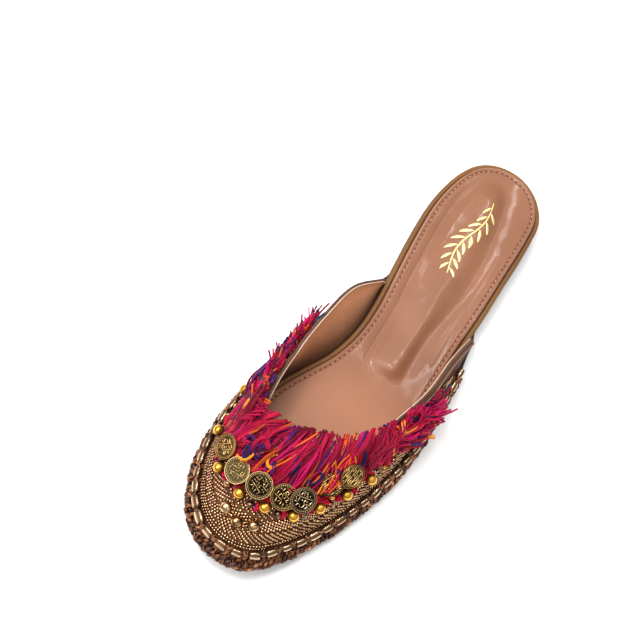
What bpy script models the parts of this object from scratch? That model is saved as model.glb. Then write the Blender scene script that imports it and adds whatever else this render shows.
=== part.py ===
# Left mule in the khussa style. The toe points to +X, the wearer's left is +Y and the floor is z = 0.
# The origin lies on the floor under the middle of the heel's tread.
import bpy
import bmesh
import numpy as np
from math import acos, pi, radians

for old in list(bpy.data.objects):
    bpy.data.objects.remove(old, do_unlink=True)

# Main sizes, metres
BOARD_LENGTH = 0.2405
BALL_WIDTH = 0.070
INSTEP_HEIGHT = 0.041
HEEL_HEIGHT = 0.0075
TOE_SPRING = 0.0065
OUTSOLE_THICKNESS = 0.0032
BOARD_THICKNESS = 0.0045
INSOLE_THICKNESS = 0.0018
PAD_HEIGHT = 0.0032
UPPER_WALL = 0.0022
PIPING_RADIUS = 0.0010
RIM_CORD_RADIUS = 0.0018
CUP_BEAD_RADIUS = 0.0021
CUP_BEAD_PITCH = 0.0072
CUP_HEIGHT = 0.0088
CUP_CLIMB = 0.0022
INSOLE_INSET = 0.0029
HEEL_INSET = 0.0015
COIN_RADIUS = 0.0059
COIN_THICKNESS = 0.0012
GOLD_BEAD_RADIUS = 0.0026
LOCK_THICKNESS = 0.0026
LOCK_PITCH = 0.0064

# Clearances, metres
SEAT_GAP = 0.0003
BOARD_TO_WALL = 0.0005
FRINGE_GAP = 0.0006

# Places along the board, as shares of its length from the heel
HEEL_SEAT = 0.120
HEEL_BREAST = 0.270
WAIST_END = 0.610
SPRING_START = 0.840
WING_START = 0.378
CORD_START = 0.460
BREAST_SETBACK = 0.012

# Share of the instep height by which a free edge past the collar droops
DROOP = 0.9

# Board outline: share of the length, medial and lateral edge as shares of the ball width
BOARD_SECTIONS = (
    (0.000, 0.013, 0.013),
    (0.010, -0.140, 0.164),
    (0.031, -0.237, 0.269),
    (0.073, -0.314, 0.363),
    (0.123, -0.351, 0.389),
    (0.177, -0.363, 0.400),
    (0.239, -0.347, 0.407),
    (0.322, -0.310, 0.419),
    (0.385, -0.277, 0.423),
    (0.439, -0.253, 0.429),
    (0.489, -0.249, 0.440),
    (0.530, -0.266, 0.451),
    (0.572, -0.306, 0.466),
    (0.613, -0.369, 0.473),
    (0.655, -0.433, 0.471),
    (0.696, -0.484, 0.460),
    (0.738, -0.514, 0.431),
    (0.780, -0.526, 0.394),
    (0.821, -0.521, 0.350),
    (0.863, -0.506, 0.297),
    (0.904, -0.469, 0.233),
    (0.946, -0.401, 0.153),
    (0.975, -0.326, 0.079),
    (0.992, -0.249, 0.009),
    (1.000, -0.129, -0.129),
)

# Ribs of the upper from the medial wing round the toe to the lateral wing.
# way round, collar's length, width and height shares, then the rib's rise and flare at its foot
# and its reach at the collar as shares of the instep height, and its drop there in degrees
UPPER_RIBS = (
    (0.00, 0.380, -0.307, 0.366, 0.05, 0.000, 0.05, 80),
    (0.05, 0.455, -0.429, 0.659, 0.17, 0.070, 0.20, 80),
    (0.10, 0.547, -0.460, 0.837, 0.27, 0.100, 0.27, 80),
    (0.15, 0.638, -0.466, 0.927, 0.32, 0.070, 0.29, 78),
    (0.20, 0.721, -0.451, 0.971, 0.34, 0.050, 0.29, 70),
    (0.25, 0.780, -0.407, 0.990, 0.34, 0.044, 0.34, 50),
    (0.30, 0.802, -0.336, 1.000, 0.33, 0.037, 0.44, 34),
    (0.35, 0.813, -0.264, 1.000, 0.32, 0.034, 0.51, 27),
    (0.40, 0.818, -0.193, 1.000, 0.32, 0.032, 0.56, 23),
    (0.45, 0.818, -0.129, 1.000, 0.32, 0.032, 0.57, 22),
    (0.50, 0.815, -0.064, 1.000, 0.32, 0.032, 0.57, 22),
    (0.55, 0.807, 0.007, 1.000, 0.32, 0.032, 0.57, 23),
    (0.60, 0.794, 0.079, 0.995, 0.32, 0.032, 0.56, 25),
    (0.65, 0.778, 0.150, 0.988, 0.32, 0.034, 0.51, 29),
    (0.70, 0.757, 0.207, 0.976, 0.33, 0.037, 0.44, 36),
    (0.75, 0.732, 0.257, 0.959, 0.34, 0.039, 0.34, 46),
    (0.80, 0.694, 0.307, 0.937, 0.34, 0.034, 0.29, 58),
    (0.85, 0.634, 0.364, 0.898, 0.32, 0.029, 0.29, 68),
    (0.90, 0.559, 0.414, 0.841, 0.29, 0.024, 0.27, 74),
    (0.95, 0.468, 0.421, 0.707, 0.22, 0.015, 0.22, 78),
    (1.00, 0.380, 0.450, 0.366, 0.05, 0.000, 0.05, 80),
)

# Raised pad of the insole: share of the length, then its medial foot, its crest and its lateral foot
# as shares of the ball width
PAD_ROWS = (
    (0.030, -0.150, -0.030, 0.030),
    (0.100, -0.175, 0.005, 0.115),
    (0.160, -0.195, 0.045, 0.165),
    (0.240, -0.180, 0.066, 0.210),
    (0.317, -0.150, 0.078, 0.222),
    (0.352, -0.135, 0.083, 0.215),
    (0.394, -0.110, 0.098, 0.200),
    (0.450, -0.088, 0.110, 0.188),
    (0.514, -0.072, 0.114, 0.205),
    (0.560, -0.050, 0.105, 0.222),
)
PAD_END = 0.545

# Fringe: root's way round and height on its rib, tip's way round and height on its rib.
# A height over 1 hangs past the collar.
FRINGE_PATHS = (
    (0.165, 0.80, 0.120, 0.98),
    (0.195, 0.68, 0.150, 0.99),
    (0.235, 0.62, 0.200, 1.00),
    (0.288, 0.60, 0.245, 1.03),
    (0.330, 0.65, 0.300, 1.09),
    (0.403, 0.71, 0.370, 1.14),
    (0.480, 0.74, 0.470, 1.15),
    (0.550, 0.74, 0.545, 1.15),
    (0.600, 0.75, 0.605, 1.13),
    (0.665, 0.79, 0.680, 1.15),
    (0.708, 0.79, 0.745, 1.15),
    (0.777, 0.70, 0.805, 1.10),
    (0.825, 0.67, 0.850, 1.12),
    (0.858, 0.66, 0.885, 1.05),
    (0.895, 0.55, 0.915, 0.95),
)

# Coins: way round, height on the rib, extra lift as a share of the coin's thickness
COINS = (
    (0.330, 0.655, 0.0),
    (0.403, 0.690, 0.0),
    (0.480, 0.725, 1.5),
    (0.550, 0.720, 0.0),
    (0.600, 0.725, 1.5),
    (0.665, 0.810, 0.0),
    (0.708, 0.845, 1.5),
)

# Gold beads: way round and height on the rib
GOLD_BEADS = (
    (0.215, 0.460),
    (0.283, 0.470),
    (0.365, 0.545),
    (0.455, 0.600),
    (0.527, 0.615),
    (0.605, 0.585),
    (0.665, 0.600),
    (0.723, 0.600),
    (0.772, 0.575),
)


# Cubic through the rows of a table
def through(knots, values, at):
    knots = np.asarray(knots, float)
    values = np.asarray(values, float)
    slopes = np.gradient(values, knots, axis=0)
    low = np.clip(np.searchsorted(knots, at) - 1, 0, len(knots) - 2)
    span = knots[low + 1] - knots[low]
    s = (at - knots[low]) / span
    if values.ndim > 1:
        s = s[:, None]
        span = span[:, None]
    start = (1 + 2 * s) * (1 - s) ** 2 * values[low] + s * (1 - s) ** 2 * span * slopes[low]
    end = s * s * (3 - 2 * s) * values[low + 1] + s * s * (s - 1) * span * slopes[low + 1]
    return start + end


def ease(x, low, high):
    s = np.clip((x - low) / (high - low), 0, 1)
    return s * s * (3 - 2 * s)


# Plan of the board. The angle runs 0 at the heel, pi at the toe, 2 pi at the heel again.
def board_loop_table():
    rows = np.array(BOARD_SECTIONS)
    angle = np.arccos(1 - 2 * rows[:, 0])
    lateral = rows[:, 2]
    medial = rows[::-1, 1][1:]
    knots = np.concatenate([angle, 2 * pi - angle[::-1][1:]])
    across = np.concatenate([lateral, medial])
    wrap = 4
    knots = np.concatenate([knots[-1 - wrap:-1] - 2 * pi, knots, knots[1:1 + wrap] + 2 * pi])
    across = np.concatenate([across[-1 - wrap:-1], across, across[1:1 + wrap]])
    return knots, across


LOOP_KNOTS, LOOP_ACROSS = board_loop_table()


def board_point(angle):
    along = (1 - np.cos(angle)) / 2
    across = through(LOOP_KNOTS, LOOP_ACROSS, angle)
    return np.stack([(along - HEEL_SEAT) * BOARD_LENGTH, across * BALL_WIDTH], axis=-1)


# Edge of the board moved outwards in plan
def board_edge(angle, out):
    step = 0.01
    tangent = board_point(angle + step) - board_point(angle - step)
    tangent /= np.linalg.norm(tangent, axis=-1, keepdims=True)
    outward = np.stack([-tangent[..., 1], tangent[..., 0]], axis=-1)
    return board_point(angle) + outward * np.asarray(out)[..., None]


def share_along(x):
    return x / BOARD_LENGTH + HEEL_SEAT


# Heights of the layers
def outsole_bottom(x):
    share = share_along(x)
    waist = HEEL_HEIGHT * (1 - ease(share, HEEL_BREAST, WAIST_END))
    toe = np.clip((share - SPRING_START) / (1 - SPRING_START), 0, None)
    return waist + TOE_SPRING * toe ** 2


def outsole_top(x):
    return outsole_bottom(x) + OUTSOLE_THICKNESS


def board_top(x):
    return outsole_top(x) + SEAT_GAP + BOARD_THICKNESS


def insole_top(x):
    return board_top(x) + SEAT_GAP + INSOLE_THICKNESS


# Mesh and material helpers
def new_material(slot, color, roughness, metallic=0.0):
    material = bpy.data.materials.get(slot) or bpy.data.materials.new(slot)
    material.use_nodes = True
    shader = material.node_tree.nodes["Principled BSDF"]
    shader.inputs["Base Color"].default_value = (*color, 1)
    shader.inputs["Roughness"].default_value = roughness
    shader.inputs["Metallic"].default_value = metallic
    material.diffuse_color = (*color, 1)
    return material


def new_solid(name, vertices, faces, material, sharp=40):
    mesh = bpy.data.meshes.new(name)
    mesh.from_pydata([tuple(v) for v in vertices], [], [tuple(f) for f in faces])
    work = bmesh.new()
    work.from_mesh(mesh)
    bmesh.ops.remove_doubles(work, verts=work.verts, dist=1e-6)
    bmesh.ops.dissolve_degenerate(work, edges=work.edges, dist=1e-6)
    bmesh.ops.recalc_face_normals(work, faces=work.faces)
    work.to_mesh(mesh)
    work.free()
    mesh.materials.append(material)
    mesh.shade_smooth()
    mesh.set_sharp_from_angle(angle=radians(sharp))
    piece = bpy.data.objects.new(name, mesh)
    bpy.context.scene.collection.objects.link(piece)
    return piece


def grid_faces(rows, columns, first=0, wrap=False):
    faces = []
    for i in range(rows - 1):
        for j in range(columns if wrap else columns - 1):
            k = (j + 1) % columns
            faces.append((first + i * columns + j, first + i * columns + k,
                          first + (i + 1) * columns + k, first + (i + 1) * columns + j))
    return faces


# Layer of the sole from pairs of lateral and medial edge points, one pair of arrays per level
def layered_solid(name, levels, material, top_points=None):
    count = len(levels[0][0])
    vertices = []
    for lateral, medial in levels:
        vertices.extend(lateral)
        vertices.extend(medial)
    faces = []
    for i in range(count - 1):
        faces.append((i, i + 1, count + i + 1, count + i))
    for level in range(len(levels) - 1):
        low = level * 2 * count
        high = low + 2 * count
        for side in (0, count):
            for i in range(side, side + count - 1):
                faces.append((low + i, low + i + 1, high + i + 1, high + i))
        for end in (0, count - 1):
            faces.append((low + end, low + count + end, high + count + end, high + end))
    top = (len(levels) - 1) * 2 * count
    if top_points is None:
        for i in range(count - 1):
            faces.append((top + i, top + i + 1, top + count + i + 1, top + count + i))
    else:
        first = len(vertices)
        columns = top_points.shape[1]
        vertices.extend(top_points.reshape(-1, 3))
        faces.extend(grid_faces(count, columns, first))
    return new_solid(name, vertices, faces, material)


def edge_pair(angles, out, height):
    pair = []
    for side in (angles, 2 * pi - angles):
        plan = board_edge(side, out)
        pair.append(np.column_stack([plan, height(plan[:, 0])]))
    return pair


# Closed tube along points, with a guide direction for its first side
def tube_solid(name, points, radii, guide, sides, material):
    tangent = np.gradient(points, axis=0)
    tangent /= np.linalg.norm(tangent, axis=1, keepdims=True)
    side = np.cross(tangent, guide)
    side /= np.linalg.norm(side, axis=1, keepdims=True)
    up = np.cross(side, tangent)
    turn = 2 * pi * (np.arange(sides) + 0.5) / sides
    ring = side[:, None] * np.cos(turn)[None, :, None] + up[:, None] * np.sin(turn)[None, :, None]
    vertices = points[:, None] + ring * np.asarray(radii)[:, None, None]
    rows = len(points)
    faces = grid_faces(rows, sides, 0, True)
    faces.append(tuple(range(sides)))
    faces.append(tuple((rows - 1) * sides + i for i in range(sides)))
    return new_solid(name, vertices.reshape(-1, 3), faces, material, 60)


# Outer skin of the upper. Way round 0 is the medial wing, 1 the lateral wing.
# Height 0 is the foot of a rib, 1 the collar, and more than 1 hangs past the collar.
WING_ANGLE = acos(1 - 2 * WING_START)
UPPER_OFFSET = BOARD_TO_WALL + UPPER_WALL


def upper_point(way, height):
    way = np.asarray(way, float)
    height = np.asarray(height, float)
    way, height = np.broadcast_arrays(way, height)
    shape = way.shape
    way = way.ravel()
    height = height.ravel()[:, None]
    rows = np.array(UPPER_RIBS)
    rib = through(rows[:, 0], rows[:, 1:], way)
    angle = pi + (0.5 - way) * 2 * (pi - WING_ANGLE)
    plan = board_edge(angle, np.full(len(angle), UPPER_OFFSET))
    inner = board_edge(angle, np.zeros(len(angle)))
    out = (plan - inner) / UPPER_OFFSET
    foot = np.column_stack([plan, outsole_top(plan[:, 0]) + SEAT_GAP])
    collar = np.column_stack([(rib[:, 0] - HEEL_SEAT) * BOARD_LENGTH, rib[:, 1] * BALL_WIDTH,
                              rib[:, 2] * INSTEP_HEIGHT])
    rise = rib[:, 3:4] * INSTEP_HEIGHT
    flare = rib[:, 4:5] * INSTEP_HEIGHT
    low = foot + np.column_stack([out * flare, rise])
    toward = foot[:, :2] - collar[:, :2]
    toward /= np.linalg.norm(toward, axis=1, keepdims=True)
    reach = rib[:, 5:6] * INSTEP_HEIGHT
    drop = np.radians(rib[:, 6:7])
    high = collar + np.column_stack([toward * np.cos(drop), -np.sin(drop)]) * reach
    t = np.clip(height, 0, 1)
    point = ((1 - t) ** 3 * foot + 3 * t * (1 - t) ** 2 * low
             + 3 * t * t * (1 - t) * high + t ** 3 * collar)
    past = np.clip(height - 1, 0, None) * np.linalg.norm(collar - foot, axis=1, keepdims=True)
    leave = (collar - high) / np.linalg.norm(collar - high, axis=1, keepdims=True)
    point = point + leave * past
    point[:, 2:] -= DROOP * past ** 2 / INSTEP_HEIGHT
    return point.reshape(shape + (3,))


def upper_normal(way, height):
    step = 0.002
    around = upper_point(way + step, height) - upper_point(way - step, height)
    along = upper_point(way, height + step) - upper_point(way, height - step)
    normal = np.cross(around, along)
    return normal / np.linalg.norm(normal, axis=-1, keepdims=True)


# Way round of the medial rib that stands at a share of the board
def way_at(share):
    return 0.5 - (pi - acos(1 - 2 * share)) / (pi - WING_ANGLE) / 2


# Ways round that are evenly spaced along a line of one height
def even_ways(start, end, height, count):
    fine = np.linspace(start, end, 400)
    line = upper_point(fine, np.full(400, height))
    run = np.concatenate([[0], np.cumsum(np.linalg.norm(np.diff(line, axis=0), axis=1))])
    return np.interp(np.linspace(0, run[-1], count), run, fine), run[-1]


# Middle line of a round string that lies against the upper's wall at one height over its foot
def beside_upper(ways, radius, lift):
    heights = np.linspace(0, 0.5, 61)
    around, up = np.meshgrid(ways, heights, indexing="ij")
    skin = upper_point(around, up)
    line = skin + upper_normal(around, up) * (SEAT_GAP + radius)
    place = skin[:, 0, :2]
    for settle in range(3):
        target = outsole_top(place[:, 0]) + lift
        place = np.array([[np.interp(target[i], line[i, :, 2], line[i, :, axis]) for axis in range(2)]
                          for i in range(len(ways))])
    return np.column_stack([place, target])


# Pieces of the sole
def make_outsole(material):
    angles = np.linspace(0, pi, 49)
    share = (1 - np.cos(angles)) / 2
    rim = 2 * RIM_CORD_RADIUS + 2 * SEAT_GAP
    wide = SEAT_GAP + UPPER_OFFSET * ease(share, HEEL_BREAST, WING_START)
    wide = wide + rim * ease(share, WING_START, CORD_START)
    bevel = 0.25 * OUTSOLE_THICKNESS
    levels = [edge_pair(angles, wide - bevel, outsole_bottom),
              edge_pair(angles, wide, lambda x: outsole_bottom(x) + bevel),
              edge_pair(angles, wide, outsole_top)]
    return layered_solid("outsole", levels, material)


def make_heel(material):
    breast = acos(1 - 2 * (HEEL_BREAST - BREAST_SETBACK))
    angles = np.linspace(0, breast, 21)
    step = 0.3 * HEEL_HEIGHT
    inset = HEEL_INSET * np.ones(len(angles))
    levels = [edge_pair(angles, -inset, lambda x: 0 * x),
              edge_pair(angles, -0.6 * inset, lambda x: 0 * x + step),
              edge_pair(angles, -0.24 * inset, lambda x: 0 * x + step),
              edge_pair(angles, 0 * inset, lambda x: 0 * x + HEEL_HEIGHT - SEAT_GAP)]
    return layered_solid("heel", levels, material)


def make_midsole(material):
    angles = np.linspace(0, pi, 49)
    roll = 0.22 * BOARD_THICKNESS
    flat = np.ones(len(angles))

    def at(share):
        return lambda x: outsole_top(x) + SEAT_GAP + share * BOARD_THICKNESS

    levels = [edge_pair(angles, -roll * flat, at(0.0)),
              edge_pair(angles, 0 * flat, at(0.28)),
              edge_pair(angles, 0 * flat, at(0.72)),
              edge_pair(angles, -roll * flat, at(1.0))]
    return layered_solid("midsole", levels, material)


# Height of the raised pad: a low step at its medial foot, a slow rise to the crest, a steep fall to its
# lateral foot, squared off toward the arch and faded out at the heel
def pad_lift(x, y):
    rows = np.array(PAD_ROWS)
    share = share_along(x)
    across = y / BALL_WIDTH
    medial, crest, lateral = through(rows[:, 0], rows[:, 1:], np.clip(share, rows[0, 0], rows[-1, 0])).T
    rise = 0.35 * ease(across, medial - 0.010, medial + 0.050) + 0.65 * ease(across, medial, crest + 0.010)
    fall = 1 - ease(across, crest - 0.010, lateral + 0.005)
    front = 1 - ease(share, PAD_END - 0.030, PAD_END + 0.010)
    back = ease(share, 0.045, 0.105)
    return PAD_HEIGHT * rise * fall * front * back


def make_insole(material):
    angles = np.linspace(0, pi, 57)
    inset = INSOLE_INSET
    flat = np.ones(len(angles))

    def at(lift):
        return lambda x: board_top(x) + SEAT_GAP + lift

    levels = [edge_pair(angles, -inset * flat, at(0)),
              edge_pair(angles, -inset * flat, at(0.55 * INSOLE_THICKNESS)),
              edge_pair(angles, -(inset + 0.0008) * flat, at(INSOLE_THICKNESS))]
    lateral, medial = levels[-1]
    across = np.linspace(0, 1, 13)[None, :, None]
    top = lateral[:, None] * (1 - across) + medial[:, None] * across
    edge = ease(across[..., 0], 0, 0.15) * ease(1 - across[..., 0], 0, 0.15)
    top[..., 2] = insole_top(top[..., 0]) + pad_lift(top[..., 0].ravel(), top[..., 1].ravel()).reshape(
        top.shape[:2]) * edge
    return layered_solid("insole", levels, material, top)


# Pieces of the upper
def make_upper(material):
    ways, run = even_ways(0, 1, 0.35, 61)
    heights = np.linspace(0, 1, 11)
    around, up = np.meshgrid(ways, heights, indexing="ij")
    outer = upper_point(around, up)
    normal = upper_normal(around, up)
    foot_out = normal[:, 0] * [1, 1, 0]
    normal[:, 0] = foot_out / np.linalg.norm(foot_out, axis=1, keepdims=True)
    inner = outer - normal * UPPER_WALL
    rows, columns = around.shape
    vertices = np.concatenate([outer.reshape(-1, 3), inner.reshape(-1, 3)])
    faces = grid_faces(rows, columns)
    faces.extend(grid_faces(rows, columns, rows * columns))
    inside = rows * columns
    for i in range(rows - 1):
        for j in (0, columns - 1):
            a = i * columns + j
            b = (i + 1) * columns + j
            faces.append((a, b, inside + b, inside + a))
    for j in range(columns - 1):
        for i in (0, rows - 1):
            a = i * columns + j
            faces.append((a, a + 1, inside + a + 1, inside + a))
    return new_solid("upper", vertices, faces, material, 50)


def make_piping(material):
    ways, run = even_ways(0, 1, 1.0, 64)
    edge = upper_point(ways, np.ones(len(ways)))
    normal = upper_normal(ways, np.full(len(ways), 0.995))
    below = upper_point(ways, np.full(len(ways), 0.98))
    leave = edge - below
    leave /= np.linalg.norm(leave, axis=1, keepdims=True)
    centre = edge - normal * UPPER_WALL / 2 + leave * (SEAT_GAP + PIPING_RADIUS)
    return tube_solid("collar_piping", centre, np.full(len(ways), PIPING_RADIUS), normal, 6, material)


def make_rim_cord(material):
    start = way_at(CORD_START)
    ways, run = even_ways(start, 1 - start, 0.0, 64)
    centre = beside_upper(ways, RIM_CORD_RADIUS, SEAT_GAP + RIM_CORD_RADIUS)
    upward = np.tile([0.0, 0.0, 1.0], (len(ways), 1))
    return tube_solid("rim_cord", centre, np.full(len(ways), RIM_CORD_RADIUS), upward, 6, material)


# Cup beads strung on one core round the upper above the rim cord, three rings to a bead.
# The string climbs from the toe to the lateral side.
def make_cup_beads(material):
    start = way_at(CORD_START)
    ways, run = even_ways(start, 1 - start, 0.1, 2)
    count = int(round(run / CUP_BEAD_PITCH)) + 1
    ways, run = even_ways(start, 1 - start, 0.1, 3 * count)
    centre = beside_upper(ways, CUP_BEAD_RADIUS, CUP_HEIGHT + CUP_CLIMB * ease(ways, 0.50, 0.65))
    upward = np.tile([0.0, 0.0, 1.0], (len(ways), 1))
    radii = np.tile(np.array([0.92, 0.92, 0.38]) * CUP_BEAD_RADIUS, count)
    return tube_solid("cup_beads", centre[:-1], radii[:-1], upward[:-1], 6, material)


# Fringe: one band at the root, parted into tapering locks toward the tips
def make_fringe(material):
    rows = np.array(FRINGE_PATHS)
    fine = np.linspace(0, 1, 200)
    knots = np.linspace(0, 1, len(rows))
    path = through(knots, rows, fine)
    middle = upper_point(path[:, 0] * 0.4 + path[:, 2] * 0.6, path[:, 1] * 0.4 + path[:, 3] * 0.6)
    run = np.concatenate([[0], np.cumsum(np.linalg.norm(np.diff(middle, axis=0), axis=1))])
    locks = max(3, int(round(run[-1] / LOCK_PITCH)))
    stations = 4 * locks + 1
    place = np.interp(np.linspace(0, run[-1], stations), run, fine)
    path = through(knots, rows, place)
    ridge = np.sin(pi * np.linspace(0, locks, stations)) ** 2
    down = np.linspace(0, 1, 5)[None, :]
    reach = (1 - 0.34 * (1 - ridge))[:, None] * down
    way = path[:, 0:1] + (path[:, 2:3] - path[:, 0:1]) * reach
    height = path[:, 1:2] + (path[:, 3:4] - path[:, 1:2]) * reach
    skin = upper_point(way, height)
    normal = upper_normal(way, height)
    thick = LOCK_THICKNESS * (0.45 + 0.55 * ridge[:, None] * ease(down, 0, 0.3)) * (1 - 0.55 * down ** 3)
    low = skin + normal * FRINGE_GAP
    high = low + normal * thick[..., None]
    count, columns = way.shape
    inside = count * columns
    vertices = np.concatenate([high.reshape(-1, 3), low.reshape(-1, 3)])
    faces = grid_faces(count, columns)
    faces.extend(grid_faces(count, columns, inside))
    for i in range(count - 1):
        for j in (0, columns - 1):
            a = i * columns + j
            b = (i + 1) * columns + j
            faces.append((a, b, inside + b, inside + a))
    for j in range(columns - 1):
        for i in (0, count - 1):
            a = i * columns + j
            faces.append((a, a + 1, inside + a + 1, inside + a))
    return new_solid("fringe", vertices, faces, material, 70)


# Round pieces turned about their own axis and laid on the upper
def turned_piece(name, profile, sides, centre, normal, material):
    helper = np.array([0.0, 1.0, 0.0])
    side = np.cross(helper, normal)
    side /= np.linalg.norm(side)
    other = np.cross(normal, side)
    turn = 2 * pi * np.arange(sides) / sides
    vertices = []
    for radius, rise in profile:
        for angle in turn:
            vertices.append(centre + normal * rise + radius * (side * np.cos(angle) + other * np.sin(angle)))
    rows = len(profile)
    faces = grid_faces(rows, sides, 0, True)
    faces.append(tuple(range(sides)))
    faces.append(tuple((rows - 1) * sides + i for i in range(sides)))
    return new_solid(name, vertices, faces, material, 50)


def make_coins(material):
    half = COIN_THICKNESS / 2
    profile = ((COIN_RADIUS, -half), (COIN_RADIUS, half), (0.86 * COIN_RADIUS, half),
               (0.82 * COIN_RADIUS, 0.5 * half))
    for number, (way, height, lift) in enumerate(COINS, 1):
        skin = upper_point(np.array([way]), np.array([height]))[0]
        normal = upper_normal(np.array([way]), np.array([height]))[0]
        centre = skin + normal * (FRINGE_GAP + LOCK_THICKNESS + SEAT_GAP + half + lift * COIN_THICKNESS)
        turned_piece("coin_%d" % number, profile, 16, centre, normal, material)


def make_gold_beads(material):
    profile = tuple((GOLD_BEAD_RADIUS * np.sin(a), -GOLD_BEAD_RADIUS * np.cos(a))
                    for a in np.linspace(0.12, 0.88, 5) * pi)
    for number, (way, height) in enumerate(GOLD_BEADS, 1):
        skin = upper_point(np.array([way]), np.array([height]))[0]
        normal = upper_normal(np.array([way]), np.array([height]))[0]
        centre = skin + normal * (SEAT_GAP + GOLD_BEAD_RADIUS)
        turned_piece("gold_bead_%d" % number, profile, 8, centre, normal, material)


sole_rubber = new_material("sole_rubber", (0.045, 0.025, 0.018), 0.6)
wrapped_board = new_material("wrapped_board", (0.42, 0.24, 0.06), 0.6)
insole_leather = new_material("insole_leather", (0.50, 0.22, 0.13), 0.5)
upper_fabric = new_material("upper_fabric", (0.24, 0.13, 0.06), 0.7)
piping_fabric = new_material("piping_fabric", (0.70, 0.42, 0.36), 0.7)
cord_fabric = new_material("cord_fabric", (0.12, 0.035, 0.03), 0.75)
cup_metal = new_material("cup_metal", (0.72, 0.50, 0.30), 0.35, 1.0)
fringe_thread = new_material("fringe_thread", (0.62, 0.02, 0.16), 0.8)
coin_metal = new_material("coin_metal", (0.45, 0.28, 0.12), 0.4, 1.0)
bead_metal = new_material("bead_metal", (0.75, 0.50, 0.20), 0.3, 1.0)

make_outsole(sole_rubber)
make_heel(sole_rubber)
make_midsole(wrapped_board)
make_insole(insole_leather)
make_upper(upper_fabric)
make_piping(piping_fabric)
make_rim_cord(cord_fabric)
make_cup_beads(cup_metal)
make_fringe(fringe_thread)
make_coins(coin_metal)
make_gold_beads(bead_metal)
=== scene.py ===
import bmesh
import bpy
import numpy as np
from math import acos, pi, radians
from mathutils import Matrix, Vector


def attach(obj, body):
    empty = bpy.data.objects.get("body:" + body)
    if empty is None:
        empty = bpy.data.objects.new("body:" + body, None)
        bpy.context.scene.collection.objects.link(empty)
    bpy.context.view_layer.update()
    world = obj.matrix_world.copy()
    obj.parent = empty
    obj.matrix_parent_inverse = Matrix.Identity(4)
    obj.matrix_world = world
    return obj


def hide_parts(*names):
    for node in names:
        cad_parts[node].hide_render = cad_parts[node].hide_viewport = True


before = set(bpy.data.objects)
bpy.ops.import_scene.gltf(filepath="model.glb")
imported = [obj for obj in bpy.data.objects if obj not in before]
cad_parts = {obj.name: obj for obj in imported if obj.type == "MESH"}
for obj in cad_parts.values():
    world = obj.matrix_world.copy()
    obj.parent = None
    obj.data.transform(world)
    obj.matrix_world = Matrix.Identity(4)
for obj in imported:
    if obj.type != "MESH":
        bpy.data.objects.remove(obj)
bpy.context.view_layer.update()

dice = np.random.default_rng(27)  # one seeded source for every scatter below
print("stage: frame loaded")

# ---- shape of the shoe, in metres and in shares of its main sizes
shoe = {
    "boardLength": 0.2405,
    "ballWidth": 0.070,
    "instep": 0.041,
    "heelHeight": 0.0075,
    "toeSpring": 0.0065,
    "outsole": 0.0032,
    "board": 0.0045,
    "insole": 0.0018,
    "pad": 0.0032,
    "wall": 0.0022,
    "gap": 0.0003,
    "boardToWall": 0.0005,
    "heelSeat": 0.120,
    "heelBreast": 0.270,
    "waistEnd": 0.610,
    "springStart": 0.840,
    "wingStart": 0.378,
    "cordStart": 0.460,
    "cordRadius": 0.0018,
    "cupRadius": 0.0021,
    "cupHeight": 0.0088,
    "cupClimb": 0.0022,
}

# share of the length, medial edge and lateral edge as shares of the ball width
boardRows = np.array([
    (0.000, 0.013, 0.013), (0.010, -0.140, 0.164), (0.031, -0.237, 0.269), (0.073, -0.314, 0.363),
    (0.123, -0.351, 0.389), (0.177, -0.363, 0.400), (0.239, -0.347, 0.407), (0.322, -0.310, 0.419),
    (0.385, -0.277, 0.423), (0.439, -0.253, 0.429), (0.489, -0.249, 0.440), (0.530, -0.266, 0.451),
    (0.572, -0.306, 0.466), (0.613, -0.369, 0.473), (0.655, -0.433, 0.471), (0.696, -0.484, 0.460),
    (0.738, -0.514, 0.431), (0.780, -0.526, 0.394), (0.821, -0.521, 0.350), (0.863, -0.506, 0.297),
    (0.904, -0.469, 0.233), (0.946, -0.401, 0.153), (0.975, -0.326, 0.079), (0.992, -0.249, 0.009),
    (1.000, -0.129, -0.129),
])

# way round, collar's length, width and height, then rise, flare, reach and drop of the rib
ribRows = np.array([
    (0.00, 0.380, -0.307, 0.366, 0.05, 0.000, 0.05, 80), (0.05, 0.455, -0.429, 0.659, 0.17, 0.070, 0.20, 80),
    (0.10, 0.547, -0.460, 0.837, 0.27, 0.100, 0.27, 80), (0.15, 0.638, -0.466, 0.927, 0.32, 0.070, 0.29, 78),
    (0.20, 0.721, -0.451, 0.971, 0.34, 0.050, 0.29, 70), (0.25, 0.780, -0.407, 0.990, 0.34, 0.044, 0.34, 50),
    (0.30, 0.802, -0.336, 1.000, 0.33, 0.037, 0.44, 34), (0.35, 0.813, -0.264, 1.000, 0.32, 0.034, 0.51, 27),
    (0.40, 0.818, -0.193, 1.000, 0.32, 0.032, 0.56, 23), (0.45, 0.818, -0.129, 1.000, 0.32, 0.032, 0.57, 22),
    (0.50, 0.815, -0.064, 1.000, 0.32, 0.032, 0.57, 22), (0.55, 0.807, 0.007, 1.000, 0.32, 0.032, 0.57, 23),
    (0.60, 0.794, 0.079, 0.995, 0.32, 0.032, 0.56, 25), (0.65, 0.778, 0.150, 0.988, 0.32, 0.034, 0.51, 29),
    (0.70, 0.757, 0.207, 0.976, 0.33, 0.037, 0.44, 36), (0.75, 0.732, 0.257, 0.959, 0.34, 0.039, 0.34, 46),
    (0.80, 0.694, 0.307, 0.937, 0.34, 0.034, 0.29, 58), (0.85, 0.634, 0.364, 0.898, 0.32, 0.029, 0.29, 68),
    (0.90, 0.559, 0.414, 0.841, 0.29, 0.024, 0.27, 74), (0.95, 0.468, 0.421, 0.707, 0.22, 0.015, 0.22, 78),
    (1.00, 0.380, 0.450, 0.366, 0.05, 0.000, 0.05, 80),
])


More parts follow.
